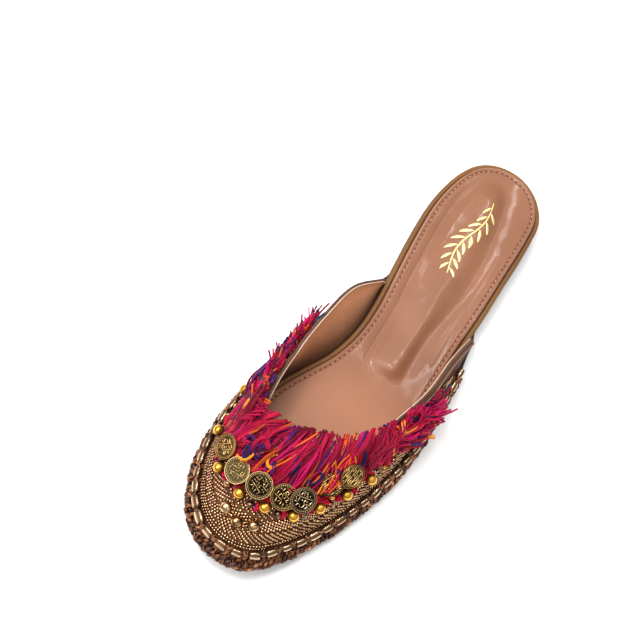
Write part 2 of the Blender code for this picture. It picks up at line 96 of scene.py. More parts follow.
# cubic Hermite curve through the rows of a table, slopes from its neighbours
def through(knots, values, at):
    knots = np.asarray(knots, float)
    values = np.asarray(values, float)
    at = np.asarray(at, float)
    slopes = np.gradient(values, knots, axis=0)
    low = np.clip(np.searchsorted(knots, at) - 1, 0, len(knots) - 2)
    span = knots[low + 1] - knots[low]
    s = (at - knots[low]) / span
    if values.ndim > 1:
        s, span = s[..., None], span[..., None]
    start = (1 + 2 * s) * (1 - s) ** 2 * values[low] + s * (1 - s) ** 2 * span * slopes[low]
    end = s * s * (3 - 2 * s) * values[low + 1] + s * s * (s - 1) * span * slopes[low + 1]
    return start + end


# 0 below low, 1 above high, 3s^2 - 2s^3 between
def ease(x, low, high):
    s = np.clip((x - low) / (high - low), 0, 1)
    return s * s * (3 - 2 * s)


def unit(v):
    return v / np.maximum(np.linalg.norm(v, axis=-1, keepdims=True), 1e-12)


# length run along a line of points, from 0 at its first
def runAlong(line):
    return np.concatenate([[0], np.cumsum(np.linalg.norm(np.diff(line, axis=0), axis=1))])


# points of a line where its own run reaches the given lengths
def pointsAt(at, run, line):
    return np.column_stack([np.interp(at, run, column) for column in line.T])


# factors about one, a row for each of count things: 1 + share * normal draw
def scatter(share, count):
    return 1 + share * dice.standard_normal((count, 1))


upAxis = np.array([0, 0, 1.0])


turnRows = np.arccos(1 - 2 * boardRows[:, 0])
loopKnots = np.concatenate([turnRows, 2 * pi - turnRows[::-1][1:]])
loopAcross = np.concatenate([boardRows[:, 2], boardRows[::-1, 1][1:]])
loopKnots = np.concatenate([loopKnots[-5:-1] - 2 * pi, loopKnots, loopKnots[1:5] + 2 * pi])
loopAcross = np.concatenate([loopAcross[-5:-1], loopAcross, loopAcross[1:5]])


# plan of the board: x runs as half of 1 - cos(turn), y through the table, turn 0 at the heel and pi at the toe
def boardPoint(turn):
    along = (1 - np.cos(turn)) / 2
    return np.stack([(along - shoe["heelSeat"]) * shoe["boardLength"],
                     through(loopKnots, loopAcross, turn) * shoe["ballWidth"]], axis=-1)


# the same plan moved out along its normal
def boardEdge(turn, out):
    tangent = unit(boardPoint(turn + 0.01) - boardPoint(turn - 0.01))
    outward = np.stack([-tangent[..., 1], tangent[..., 0]], axis=-1)
    return boardPoint(turn) + outward * np.asarray(out)[..., None]


def shareAlong(x):
    return x / shoe["boardLength"] + shoe["heelSeat"]


# tread height: eased waist between heel and ball, parabola up the toe spring
def treadHeight(x):
    share = shareAlong(x)
    toe = np.clip((share - shoe["springStart"]) / (1 - shoe["springStart"]), 0, None)
    heel = shoe["heelHeight"] * (1 - ease(share, shoe["heelBreast"], shoe["waistEnd"]))
    return heel + shoe["toeSpring"] * toe ** 2


def outsoleTop(x):
    return treadHeight(x) + shoe["outsole"]


def boardTop(x):
    return outsoleTop(x) + shoe["gap"] + shoe["board"]


wingTurn = acos(1 - 2 * shoe["wingStart"])
skinOffset = shoe["boardToWall"] + shoe["wall"]


# skin of the vamp: a cubic Bezier rib from the foot line (height 0) to the collar (height 1) at each way round,
# and past the collar a straight run that droops with the square of its length
def skinPoint(way, height):
    way, height = np.broadcast_arrays(np.asarray(way, float), np.asarray(height, float))
    shape = way.shape
    way, height = way.ravel(), height.ravel()[:, None]
    rib = through(ribRows[:, 0], ribRows[:, 1:], way)
    turn = pi + (0.5 - way) * 2 * (pi - wingTurn)
    plan = boardEdge(turn, np.full(len(turn), skinOffset))
    out = (plan - boardPoint(turn)) / skinOffset
    foot = np.column_stack([plan, outsoleTop(plan[:, 0]) + shoe["gap"]])
    collar = np.column_stack([(rib[:, 0] - shoe["heelSeat"]) * shoe["boardLength"],
                              rib[:, 1] * shoe["ballWidth"], rib[:, 2] * shoe["instep"]])
    low = foot + np.column_stack([out * rib[:, 4:5], rib[:, 3:4]]) * shoe["instep"]
    toward = unit(foot[:, :2] - collar[:, :2])
    drop = np.radians(rib[:, 6:7])
    high = collar + np.column_stack([toward * np.cos(drop), -np.sin(drop)]) * rib[:, 5:6] * shoe["instep"]
    t = np.clip(height, 0, 1)
    point = (1 - t) ** 3 * foot + 3 * t * (1 - t) ** 2 * low + 3 * t * t * (1 - t) * high + t ** 3 * collar
    past = np.clip(height - 1, 0, None) * np.linalg.norm(collar - foot, axis=1, keepdims=True)
    point = point + unit(collar - high) * past
    point[:, 2:] -= 0.9 * past ** 2 / shoe["instep"]
    return point.reshape(shape + (3,))


def skinNormal(way, height):
    step = 0.002
    around = skinPoint(way + step, height) - skinPoint(way - step, height)
    along = skinPoint(way, height + step) - skinPoint(way, height - step)
    return unit(np.cross(around, along))


def skinAlong(way, height, step=0.002):
    return unit(skinPoint(way + step, height) - skinPoint(way - step, height))


# level direction out of the skin
def levelOut(ways, height):
    return unit(skinNormal(ways, np.full(len(ways), height)) * [1, 1, 0])


def wayAt(share):
    return 0.5 - (pi - acos(1 - 2 * share)) / (pi - wingTurn) / 2


# ways round spaced evenly by length along one height, and that length
def evenWays(start, end, height, count):
    fine = np.linspace(start, end, 600)
    run = runAlong(skinPoint(fine, height))
    return np.interp(np.linspace(0, run[-1], count), run, fine), run[-1]


# the same between the two ends of the rim
def rimWays(count, height=0.0):
    start = wayAt(shoe["cordStart"])
    return evenWays(start, 1 - start, height, count)


# middle line of a round string that leans on the wall at one height over the outsole
def besideSkin(ways, radius, lift):
    around, up = np.meshgrid(ways, np.linspace(0, 0.5, 61), indexing="ij")
    line = skinPoint(around, up) + skinNormal(around, up) * (shoe["gap"] + radius)
    place = line[:, 0, :2]
    for settle in range(3):
        target = outsoleTop(place[:, 0]) + lift
        place = np.array([pointsAt(z, row[:, 2], row[:, :2])[0] for z, row in zip(target, line)])
    return np.column_stack([place, target])


# ---- mesh helpers
def gridFaces(rows, columns, first=0, wrap=False):
    i, j = np.meshgrid(np.arange(rows - 1), np.arange(columns if wrap else columns - 1), indexing="ij")
    k = (j + 1) % columns
    quads = np.stack([i * columns + j, i * columns + k, (i + 1) * columns + k, (i + 1) * columns + j], axis=-1)
    return quads.reshape(-1, 4) + first


# sum of signed tetrahedra turns a closed set of faces outwards
def outward(points, quads):
    a, b, c = points[quads[:, 0]], points[quads[:, 1]], points[quads[:, 2]]
    d = points[quads[:, 3]]
    volume = np.sum(a * np.cross(b, c)) + np.sum(a * np.cross(c, d))
    return quads if volume > 0 else quads[:, ::-1]


# a mesh of quads riding on the shoe; shorter rows of tint, marks and UV repeat over its copies
def newPiece(name, points, quads, materials, slotName, replaced=(), tint=None, marks=None, uv=None,
             faceSlots=None, smooth=True, weld=False, sharp=None):
    points = np.asarray(points, float).reshape(-1, 3)
    quads = np.asarray(quads, int)
    mesh = bpy.data.meshes.new(name)
    mesh.vertices.add(len(points))
    mesh.vertices.foreach_set("co", points.astype(np.float32).ravel())
    mesh.loops.add(quads.size)
    mesh.loops.foreach_set("vertex_index", quads.astype(np.int32).ravel())
    mesh.polygons.add(len(quads))
    mesh.polygons.foreach_set("loop_start", np.arange(len(quads), dtype=np.int32) * 4)
    mesh.update(calc_edges=True)
    if tint is not None:
        tint = np.asarray(tint, float).reshape(-1, 3)
        tint = np.repeat(tint, len(points) // len(tint), axis=0)
        rgba = np.column_stack([tint, np.ones(len(tint))]).astype(np.float32)
        mesh.attributes.new("tint", "FLOAT_COLOR", "POINT").data.foreach_set("color", rgba.ravel())
    for key, values in (marks or {}).items():
        layer = mesh.attributes.new(key, "FLOAT", "POINT")
        layer.data.foreach_set("value", np.resize(values, len(points)).astype(np.float32))
    if uv is not None:
        flat = np.resize(uv, (len(points), 2)).astype(np.float32)[quads.ravel()]
        mesh.uv_layers.new(name="UVMap").data.foreach_set("uv", flat.ravel())
    for material in materials:
        mesh.materials.append(material)
    if faceSlots is not None:
        mesh.polygons.foreach_set("material_index", np.asarray(faceSlots, np.int32))
    mesh.validate()
    if weld:
        work = bmesh.new()
        work.from_mesh(mesh)
        bmesh.ops.remove_doubles(work, verts=work.verts, dist=2e-6)
        bmesh.ops.dissolve_degenerate(work, edges=work.edges, dist=1e-6)
        bmesh.ops.recalc_face_normals(work, faces=work.faces)
        work.to_mesh(mesh)
        work.free()
    if smooth:
        mesh.shade_smooth()
        if sharp:
            mesh.set_sharp_from_angle(angle=radians(sharp))
    piece = bpy.data.objects.new(name, mesh)
    bpy.context.scene.collection.objects.link(piece)
    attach(piece, "root")
    if replaced:
        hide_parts(*replaced)
    print("piece:", name, len(quads) * 2, "triangles")
    return piece


# many copies of one small closed shape: point = place + sum of axis * size * shape coordinate
def copies(shape, quads, places, axes, sizes):
    sizes = np.broadcast_to(np.asarray(sizes, float), places.shape)
    local = shape[None] * sizes[:, None]
    points = places[:, None] + np.einsum("nki,nij->nkj", local, axes)
    faces = quads[None] + (np.arange(len(places)) * len(shape))[:, None, None]
    return points.reshape(-1, 3), faces.reshape(-1, 4)


# axes of a frame with x along one direction and z near another
def framesOf(along, up):
    x = unit(along)
    y = unit(np.cross(up, x))
    return np.stack([x, y, np.cross(x, y)], axis=1)


# a ring of an even number of points closed by a row of quads that share its first point
def capFaces(sides, first):
    k = np.arange(sides // 2 - 1) * 2
    return np.stack([0 * k, k + 1, k + 2, k + 3], axis=-1) + first


# rows of rings joined to a tube with a cap on each end
def tubeFaces(rows, sides):
    return np.concatenate([gridFaces(rows, sides, 0, True), capFaces(sides, 0)[:, ::-1],
                           capFaces(sides, (rows - 1) * sides)])


# closed turned shape about x from (x, radius) rows
def turnedShape(rows, sides):
    rows = np.asarray(rows, float)
    turn = 2 * pi * np.arange(sides) / sides
    ring = np.stack([np.zeros(sides), np.cos(turn), np.sin(turn)], axis=-1)
    points = ring[None] * rows[:, 1][:, None, None]
    points[..., 0] += rows[:, 0][:, None]
    points = points.reshape(-1, 3)
    return points, outward(points, tubeFaces(len(rows), sides))


# the faces of one tube repeated for count tubes whose points follow each other
def repeated(points, count, steps, sides):
    one = outward(points[:steps * sides], tubeFaces(steps, sides))
    return (one[None] + (np.arange(count) * steps * sides)[:, None, None]).reshape(-1, 4)


# many tubes at once: n paths of k points, each with its own radius row, both ends capped
def tubes(paths, radii, sides, guide):
    count, steps = paths.shape[:2]
    radii = np.broadcast_to(radii, (count, steps))
    tangent = unit(np.gradient(paths, axis=1))
    side = unit(np.cross(tangent, guide))
    up = np.cross(side, tangent)
    turn = 2 * pi * np.arange(sides) / sides
    ring = side[:, :, None] * np.cos(turn)[:, None] + up[:, :, None] * np.sin(turn)[:, None]
    points = (paths[:, :, None] + ring * radii[:, :, None, None]).reshape(-1, 3)
    return points, repeated(points, count, steps, sides)


# one mesh from parts of points and faces
def joined(parts):
    starts = np.cumsum([0] + [len(points) for points, faces in parts])
    return (np.concatenate([points for points, faces in parts]),
            np.concatenate([faces + start for (points, faces), start in zip(parts, starts)]))


def gridUv(first, second):
    return np.stack(np.meshgrid(first, second, indexing="ij"), axis=-1).reshape(-1, 2)


# UV of one tube: millimetres along and turns round
def tubeUv(length, steps, sides=6):
    return gridUv(np.linspace(0, length, steps), np.arange(sides) / sides)


# the same for a turned shape
def turnedUv(shape, length):
    return np.column_stack([shape[:, 0] * length, np.arctan2(shape[:, 2], shape[:, 1]) / (2 * pi)])


# ---- node helpers
def addNode(tree, kind, settings=None, **values):
    made = tree.nodes.new("ShaderNode" + kind)
    for key, value in (settings or {}).items():
        setattr(made, key, value)
    for key, value in values.items():
        numbered = key[0] == "n" and key[1:].isdigit()
        socket = made.inputs[int(key[1:])] if numbered else made.inputs[key.replace("_", " ")]
        if isinstance(value, bpy.types.NodeSocket):
            tree.links.new(value, socket)
        else:
            socket.default_value = value
    return made


def mathOf(tree, operation, *values):
    sockets = {"n%d" % k: value for k, value in enumerate(values)}
    return addNode(tree, "Math", {"operation": operation}, **sockets).outputs[0]


# sine of a number of full turns
def waveOf(tree, turns):
    return mathOf(tree, "SINE", mathOf(tree, "MULTIPLY", turns, 2 * pi))


def rangeOf(tree, value, low, high, start=0.0, end=1.0):
    return addNode(tree, "MapRange", None, Value=value, n1=low, n2=high, n3=start, n4=end).outputs[0]


def attributeOf(tree, name, output="Fac"):
    return addNode(tree, "Attribute", {"attribute_name": name}).outputs[output]


def mixColours(tree, factor, first, second, blend="MIX"):
    settings = {"data_type": "RGBA", "blend_type": blend}
    return addNode(tree, "Mix", settings, n0=factor, n6=first, n7=second).outputs[2]


def objectPlace(tree):
    return addNode(tree, "TexCoord").outputs["Object"]


def uvParts(tree):
    place = addNode(tree, "UVMap", {"uv_map": "UVMap"}).outputs["UV"]
    return addNode(tree, "SeparateXYZ", None, Vector=place).outputs[:2]


# a group of shared nodes; parts gives a value for each of its outputs
def newGroup(name, inputs, parts):
    tree = bpy.data.node_groups.new(name, "ShaderNodeTree")
    for label, value in inputs.items():
        socket = tree.interface.new_socket(name=label, in_out="INPUT", socket_type="NodeSocketFloat")
        socket.default_value = value
    made = parts(tree, tree.nodes.new("NodeGroupInput").outputs)
    for label in made:
        tree.interface.new_socket(name=label, in_out="OUTPUT", socket_type="NodeSocketFloat")
    leave = tree.nodes.new("NodeGroupOutput")
    for label, value in made.items():
        tree.links.new(value, leave.inputs[label])
    return tree


# fine grain: pits and a fine noise mixed to a height, a slow noise for the tone
def grainParts(tree, given):
    place = objectPlace(tree)
    fine = addNode(tree, "TexNoise", None, Vector=place, Scale=given["Scale"], Detail=4.0, Roughness=0.6)
    pits = addNode(tree, "TexVoronoi", None, Vector=place, Scale=given["Scale"])
    mixed = addNode(tree, "Mix", {"data_type": "FLOAT"}, Factor=given["Fine Share"],
                    n2=pits.outputs["Distance"], n3=fine.outputs["Fac"])
    slow = addNode(tree, "TexNoise", None, Vector=place, Scale=38.0, Detail=3.0)
    return {"Height": mixed.outputs[0], "Tone": slow.outputs["Fac"]}


# dust and rubs: a slow noise cut to soft patches
def rubParts(tree, given):
    noise = addNode(tree, "TexNoise", None, Vector=objectPlace(tree), Scale=given["Scale"], Detail=6.0,
                    Roughness=0.65)
    return {"Mask": mathOf(tree, "MULTIPLY", rangeOf(tree, noise.outputs["Fac"], 0.45, 0.75), given["Amount"])}


# twisted yarn: slanted bands on the piece's own UV, u along the yarn in millimetres and v round it
def twistParts(tree, given):
    along, round1 = uvParts(tree)
    both = mathOf(tree, "ADD", mathOf(tree, "MULTIPLY", along, given["Turns"]),
                  mathOf(tree, "MULTIPLY", round1, given["Slant"]))
    return {"Height": rangeOf(tree, waveOf(tree, both), -1.0, 1.0)}


# plain weave: two crossed waves on the UV, in millimetres
def weaveParts(tree, given):
    waves = [waveOf(tree, mathOf(tree, "MULTIPLY", part, given["Threads"])) for part in uvParts(tree)]
    return {"Height": rangeOf(tree, mathOf(tree, "MULTIPLY", *waves), -1.0, 1.0)}


grainGroup = newGroup("surfaceGrain", {"Scale": 400.0, "Fine Share": 0.5}, grainParts)
rubGroup = newGroup("softRubs", {"Scale": 60.0, "Amount": 0.3}, rubParts)
twistGroup = newGroup("yarnTwist", {"Turns": 1.2, "Slant": 1.0}, twistParts)
weaveGroup = newGroup("plainWeave", {"Threads": 2.5}, weaveParts)


def groupOf(tree, group, **values):
    made = tree.nodes.new("ShaderNodeGroup")
    made.node_tree = group
    for key, value in values.items():
        made.inputs[key.replace("_", " ")].default_value = value
    return made.outputs


def newFinish(name, roughness, metallic=0.0, **sockets):
    material = bpy.data.materials.new(name)
    material.use_nodes = True
    tree = material.node_tree
    shader = tree.nodes["Principled BSDF"]
    shader.inputs["Roughness"].default_value = roughness
    shader.inputs["Metallic"].default_value = metallic
    for key, value in sockets.items():
        shader.inputs[key.replace("_", " ")].default_value = value
    return material, tree, shader


# links values to the shader's sockets, and a bump of (height, strength, distance) to its normal
def feed(tree, shader, bump=None, **values):
    for key, value in values.items():
        tree.links.new(value, shader.inputs[key.replace("_", " ")])
    if bump:
        made = addNode(tree, "Bump", None, Height=bump[0], Strength=bump[1], Distance=bump[2])
        tree.links.new(made.outputs["Normal"], shader.inputs["Normal"])


# lays a colour over the tone for each mark of the piece
def marked(tree, tone, colours):
    for mark, colour in colours.items():
        tone = mixColours(tree, attributeOf(tree, mark), tone, colour)
    return tone


# ---- finishes
# the soil mark is painted shade, the edge mark a painted highlight, the front mark partly painted light
leatherLook = {"light": (0.228, 0.090, 0.042, 1), "warm": (0.195, 0.075, 0.034, 1),
               "rubbed": (0.260, 0.111, 0.057, 1),
               "marks": {"groove": (0.17, 0.058, 0.030, 1), "edge": (0.36, 0.18, 0.115, 1),
                         "front": (0.365, 0.155, 0.077, 1), "paintedInsoleShade": (0.130, 0.052, 0.026, 1)},
               "lacquer": (0.30, 0.03), "roughness": (0.48, 0.60), "poreDepth": 0.00005}
wrapLook = {"light": (0.195, 0.082, 0.017, 1), "warm": (0.145, 0.059, 0.012, 1),
            "marks": {"shade": (0.13, 0.056, 0.016, 1), "lowness": (0.050, 0.024, 0.010, 1),
                      "groove": (0.12, 0.050, 0.022, 1)}}
rubberLook = {"clean": (0.022, 0.011, 0.007, 1), "dusty": (0.050, 0.030, 0.020, 1), "ribs": 2600.0}
clothLook = {"low": (0.080, 0.031, 0.014, 1), "high": (0.165, 0.066, 0.029, 1)}
liningLook = {"light": (0.76, 0.355, 0.180, 1), "warm": (0.55, 0.25, 0.125, 1), "pore": (0.13, 0.055, 0.035, 1),
              "poreShare": 0.22, "paintedLowShade": (0.075, 0.031, 0.018, 1)}
pipingTones = {"dark": (0.085, 0.034, 0.020, 1), "pale": (0.72, 0.52, 0.40, 1), "wearAndPaintedShade": (0.20, 0.08, 0.05, 1),
               "groove": (0.55, 0.5, 0.5, 1)}


def insoleFinish():
    look = leatherLook
    material, tree, shader = newFinish("insole_leather", 0.5, Coat_Weight=0.30, Coat_Roughness=0.12,
                                       Specular_IOR_Level=0.3)
    grain = groupOf(tree, grainGroup, Scale=1500.0, Fine_Share=0.45)
    base = mixColours(tree, rangeOf(tree, grain["Tone"], 0.35, 0.65), look["light"], look["warm"])
    rubs = groupOf(tree, rubGroup, Scale=22.0, Amount=0.35)
    tone = marked(tree, mixColours(tree, rubs["Mask"], base, look["rubbed"]), look["marks"])
    feed(tree, shader, (grain["Height"], 0.22, look["poreDepth"]), Base_Color=tone,
         Coat_Weight=rangeOf(tree, attributeOf(tree, "front"), 0.0, 0.22, *look["lacquer"]),
         Roughness=rangeOf(tree, grain["Tone"], 0.3, 0.7, *look["roughness"]))
    return material


def wrapFinish():
    material, tree, shader = newFinish("wrapped_board", 0.5, Coat_Weight=0.06, Coat_Roughness=0.35,
                                       Specular_IOR_Level=0.25)
    grain = groupOf(tree, grainGroup, Scale=1300.0, Fine_Share=0.5)
    base = mixColours(tree, rangeOf(tree, grain["Tone"], 0.35, 0.65), wrapLook["light"], wrapLook["warm"])
    feed(tree, shader, (grain["Height"], 0.3, 0.00006), Base_Color=marked(tree, base, wrapLook["marks"]),
         Roughness=rangeOf(tree, grain["Height"], 0.2, 0.8, 0.42, 0.6))
    return material


def rubberFinish():
    material, tree, shader = newFinish("sole_rubber", 0.62, Specular_IOR_Level=0.25)
    grain = groupOf(tree, grainGroup, Scale=900.0, Fine_Share=0.7)
    rubs = groupOf(tree, rubGroup, Scale=45.0, Amount=0.5)
    x = addNode(tree, "SeparateXYZ", None, Vector=objectPlace(tree)).outputs["X"]
    ribs = mathOf(tree, "SINE", mathOf(tree, "MULTIPLY", x, rubberLook["ribs"]))
    height = mathOf(tree, "ADD", mathOf(tree, "MULTIPLY", ribs, 0.35), grain["Height"])
    feed(tree, shader, (height, 0.4, 0.00012),
         Base_Color=mixColours(tree, rubs["Mask"], rubberLook["clean"], rubberLook["dusty"]),
         Roughness=rangeOf(tree, grain["Tone"], 0.3, 0.7, 0.52, 0.72))
    return material


def clothFinish():
    material, tree, shader = newFinish("upper_fabric", 0.8, Specular_IOR_Level=0.15)
    weave = groupOf(tree, weaveGroup, Threads=1.6)["Height"]
    # painted shade: the weave's low points take the darker tone
    feed(tree, shader, (weave, 0.5, 0.00015),
         Base_Color=mixColours(tree, weave, clothLook["low"], clothLook["high"]),
         Roughness=rangeOf(tree, weave, 0.0, 1.0, 0.85, 0.65))
    return material


def liningFinish():
    look = liningLook
    material, tree, shader = newFinish("upper_lining", 0.55, Coat_Weight=0.06, Coat_Roughness=0.4)
    grain = groupOf(tree, grainGroup, Scale=620.0, Fine_Share=0.35)
    base = mixColours(tree, rangeOf(tree, grain["Tone"], 0.3, 0.7), look["light"], look["warm"])
    pores = mathOf(tree, "MULTIPLY", rangeOf(tree, grain["Height"], 0.25, 0.45, 1.0, 0.0), look["poreShare"])
    spotted = mixColours(tree, pores, base, look["pore"])
    # painted shade: the lining darkens toward its foot, where the rise mark is low
    depth = rangeOf(tree, attributeOf(tree, "rise"), 0.15, 0.75, 0.85, 0.0)
    shaded = mixColours(tree, depth, spotted, look["paintedLowShade"])
    feed(tree, shader, (grain["Height"], 0.35, 0.00008), Base_Color=shaded,
         Roughness=rangeOf(tree, grain["Height"], 0.2, 0.8, 0.62, 0.46))
    return material


def pipingFinish():
    material, tree, shader = newFinish("piping_fabric", 0.6, Specular_IOR_Level=0.2)
    twist = groupOf(tree, twistGroup, Turns=1.1, Slant=2.0)["Height"]
    rubs = groupOf(tree, rubGroup, Scale=70.0, Amount=0.5)
    tone = mixColours(tree, attributeOf(tree, "pale"), pipingTones["dark"], pipingTones["pale"])
    # painted shade in the grooves of the twist
    dark = mixColours(tree, 1.0, tone, pipingTones["groove"], "MULTIPLY")
    base = mixColours(tree, twist, dark, tone)
    feed(tree, shader, (twist, 0.35, 0.00015),
         Base_Color=mixColours(tree, rubs["Mask"], base, pipingTones["wearAndPaintedShade"]),
         Roughness=rangeOf(tree, twist, 0.0, 1.0, 0.7, 0.5))
    return material


# polished beads and stones: their own tint, dulled where rubbed
def glassFinish(name, roughness, coat, gloss, rubScale, rubbed, rough):
    material, tree, shader = newFinish(name, roughness, 1.0, Coat_Weight=coat, Coat_Roughness=gloss)
    rubs = groupOf(tree, rubGroup, Scale=rubScale, Amount=0.5)["Mask"]
    feed(tree, shader, Base_Color=mixColours(tree, rubs, attributeOf(tree, "tint", "Color"), rubbed),
         Roughness=rangeOf(tree, rubs, 0.0, 0.5, *rough))
    return material


# wound or twisted thread: its own tint, with painted shade in the grooves of the twist
def twistFinish(name, roughness, metallic, specular, turns, slant, groove, filled, rough, depth, distance):
    material, tree, shader = newFinish(name, roughness, metallic, Specular_IOR_Level=specular)
    tint = attributeOf(tree, "tint", "Color")
    twist = groupOf(tree, twistGroup, Turns=turns, Slant=slant)["Height"]
    dark = mixColours(tree, 1.0, tint, groove, "MULTIPLY")
    feed(tree, shader, (twist, depth, distance),
         Base_Color=mixColours(tree, rangeOf(tree, twist, 0.0, filled), dark, tint),
         Roughness=rangeOf(tree, twist, 0.0, 1.0, *rough))
    return material


def threadFinish(name, roughness=0.62, turns=1.3, depth=0.35):
    return twistFinish(name, roughness, 0.0, 0.16, turns, 1.0, (0.55, 0.45, 0.55, 1), 0.7,
                       (roughness + 0.12, roughness - 0.08), depth, 0.00018)


# metal: bright with rubs, dark and dull where its mark is high: patina in coin hollows, painted shade on cups and
# balls
def goldFinish(name, bright, dark, roughness, recessed=True):
    material, tree, shader = newFinish(name, roughness, 1.0)
    rubs = groupOf(tree, rubGroup, Scale=320.0, Amount=0.55)["Mask"]
    base = mixColours(tree, rubs, bright, tuple(c * 0.72 for c in bright[:3]) + (1,))
    if recessed:
        tinted = mixColours(tree, 1.0, base, attributeOf(tree, "tint", "Color"), "MULTIPLY")
        base = mixColours(tree, attributeOf(tree, "patinaAndPaintedShade"), tinted, dark)
        rough = rangeOf(tree, attributeOf(tree, "patinaAndPaintedShade"), 0.0, 1.0, roughness, 0.7)
    else:
        rough = rangeOf(tree, rubs, 0.0, 0.5, roughness, roughness + 0.12)
    grain = groupOf(tree, grainGroup, Scale=2200.0, Fine_Share=0.8)
    feed(tree, shader, (grain["Height"], 0.12, 0.00005), Base_Color=base, Roughness=rough)
    return material


insoleLeather = insoleFinish()
wrappedBoard = wrapFinish()
soleRubber = rubberFinish()
upperCloth = clothFinish()
liningSkin = liningFinish()
pipingCloth = pipingFinish()
seedGlass = glassFinish("seed_beads", 0.22, 0.2, 0.08, 260.0, (0.20, 0.075, 0.035, 1), (0.2, 0.42))
ropeThread = twistFinish("cord_fabric", 0.36, 0.72, 0.2, 1.9, -1.0, (0.42, 0.38, 0.36, 1), 0.6, (0.6, 0.30),
                         0.7, 0.0002)
cupGold = goldFinish("cup_metal", (0.90, 0.66, 0.42, 1), (0.085, 0.033, 0.014, 1), 0.14)
coinGold = goldFinish("coin_metal", (0.76, 0.56, 0.28, 1), (0.010, 0.006, 0.004, 1), 0.22)
beadGold = goldFinish("bead_metal", (0.72, 0.37, 0.050, 1), (0.10, 0.040, 0.008, 1), 0.11)
foilGold = goldFinish("gold_foil", (1.0, 0.80, 0.34, 1), (0.1, 0.05, 0.02, 1), 0.34, False)
yarn = threadFinish("fringe_thread")
zariThread = threadFinish("zari_thread", 0.42, 2.4, 0.5)
stitchThread = threadFinish("stitch_thread", 0.6, 2.2, 0.5)
crystalGlass = glassFinish("crystal_glass", 0.06, 0.1, 0.03, 500.0, (0.35, 0.20, 0.14, 1), (0.04, 0.14))
print("stage: finishes made")


# ---- sole and board
soleLook = {"turns": 241, "bevel": 0.0008, "boardRoll": 0.0011, "overhang": 0.0007, "heelTurns": 91,
            "breastBack": 0.012,
            "heelRows": [(-0.0018, 0.0), (-0.0012, 0.0006), (-0.0010, 0.0021), (-0.0005, 0.0023), (-0.0004, 0.0030),
                         (-0.0004, 0.0044), (-0.0002, 0.0046), (0.0, 0.0050)],
            "lipRows": [(-0.0017, 0.00012), (-0.0021, 0.0), (-0.0024, -0.0003), (-0.0026, -0.0005),
                        (-0.0033, -0.0006)]}


def sidePair(turns, out, height):
    pair = []
    for side in (turns, 2 * pi - turns):
        plan = boardEdge(side, np.broadcast_to(out, turns.shape))
        pair.append(np.column_stack([plan, height(plan[:, 0])]))
    return pair


# layers of lateral and medial edge points, closed under and over by strips that join the two edges
def layered(levels, topPoints=None):
    count = len(levels[0][0])
    points = np.concatenate([np.concatenate(pair) for pair in levels])
    step = np.arange(count - 1)
    faces = [np.stack([step, step + 1, count + step + 1, count + step], axis=-1)]
    for level in range(len(levels) - 1):
        low, high = level * 2 * count, (level + 1) * 2 * count
        for side in (0, count):
            at = side + step
            faces.append(np.stack([low + at, low + at + 1, high + at + 1, high + at], axis=-1))
        faces.append(np.array([[low + e, low + count + e, high + count + e, high + e] for e in (0, count - 1)]))
    top = (len(levels) - 1) * 2 * count
    if topPoints is None:
        faces.append(np.stack([top + step, top + step + 1, top + count + step + 1, top + count + step], axis=-1))
    else:
        faces.append(gridFaces(*topPoints.shape[:2], first=len(points)))
        points = np.concatenate([points, topPoints.reshape(-1, 3)])
    return points, np.concatenate(faces)


# quarter round of an edge: pairs of how far in and how far up, radius * (1 - sine) and radius * (1 - cosine)
def quarter(radius, count):
    arc = np.linspace(0, pi / 2, count)
    return list(zip(radius * (1 - np.sin(arc)), radius * (1 - np.cos(arc))))


def buildSole():
    turns = np.linspace(0, pi, soleLook["turns"])
    share = (1 - np.cos(turns)) / 2
    rim = 2 * shoe["cordRadius"] - soleLook["overhang"]
    wide = shoe["gap"] + skinOffset * ease(share, shoe["wingStart"] - 0.030, shoe["wingStart"])
    wide = wide + rim * ease(share, shoe["wingStart"], shoe["cordStart"])
    edge = quarter(soleLook["bevel"], 5)
    levels = [sidePair(turns, wide - back, lambda x, up=up: treadHeight(x) + up) for back, up in edge]
    levels += [sidePair(turns, wide - up, lambda x, back=back: outsoleTop(x) - back) for back, up in edge]
    points, quads = layered(levels)
    newPiece("outsole_sheet", points, quads, [soleRubber], "sole_rubber", ("outsole",), weld=True, sharp=50)

    low = np.linspace(0, acos(1 - 2 * (shoe["heelBreast"] - soleLook["breastBack"])), soleLook["heelTurns"])
    rows = soleLook["heelRows"] + [(0.0, shoe["heelHeight"] - shoe["gap"])]
    points, quads = layered([sidePair(low, out, lambda x, z=z: 0 * x + z) for out, z in rows])
    newPiece("heel_lifts", points, quads, [soleRubber], "sole_rubber", ("heel",), weld=True, sharp=35)

    edge = quarter(soleLook["boardRoll"], 6)
    rows = [(-back, up) for back, up in edge] + [(-up, shoe["board"] - back) for back, up in edge]
    rows += [(out, shoe["board"] + z) for out, z in soleLook["lipRows"]]
    points, quads = layered([sidePair(turns, out, lambda x, z=z: outsoleTop(x) + shoe["gap"] + z)
                             for out, z in rows])
    each = 2 * len(turns)
    lowness = np.repeat([1 - ease(z, 0.0018, 0.0040) if out > -0.002 else 0.0 for out, z in rows], each)
    # painted shade along the lip, stronger on the medial side, eased in from the heel
    wearAndPaintedShade = ease(share, 0.02, 0.14)
    # the groove mark paints shade on the board's top where it runs under the insole's edge
    groove = np.repeat([ease(-out, 0.0018, 0.0024) for out, z in rows], each)
    newPiece("board_wrap", points, quads, [wrappedBoard], "wrapped_board", ("midsole",), weld=True, sharp=60,
             marks={"lowness": lowness * 0.9, "groove": groove,
                    "shade": np.concatenate([0.22 * wearAndPaintedShade, 0.40 * wearAndPaintedShade])})


buildSole()
print("stage: sole built")

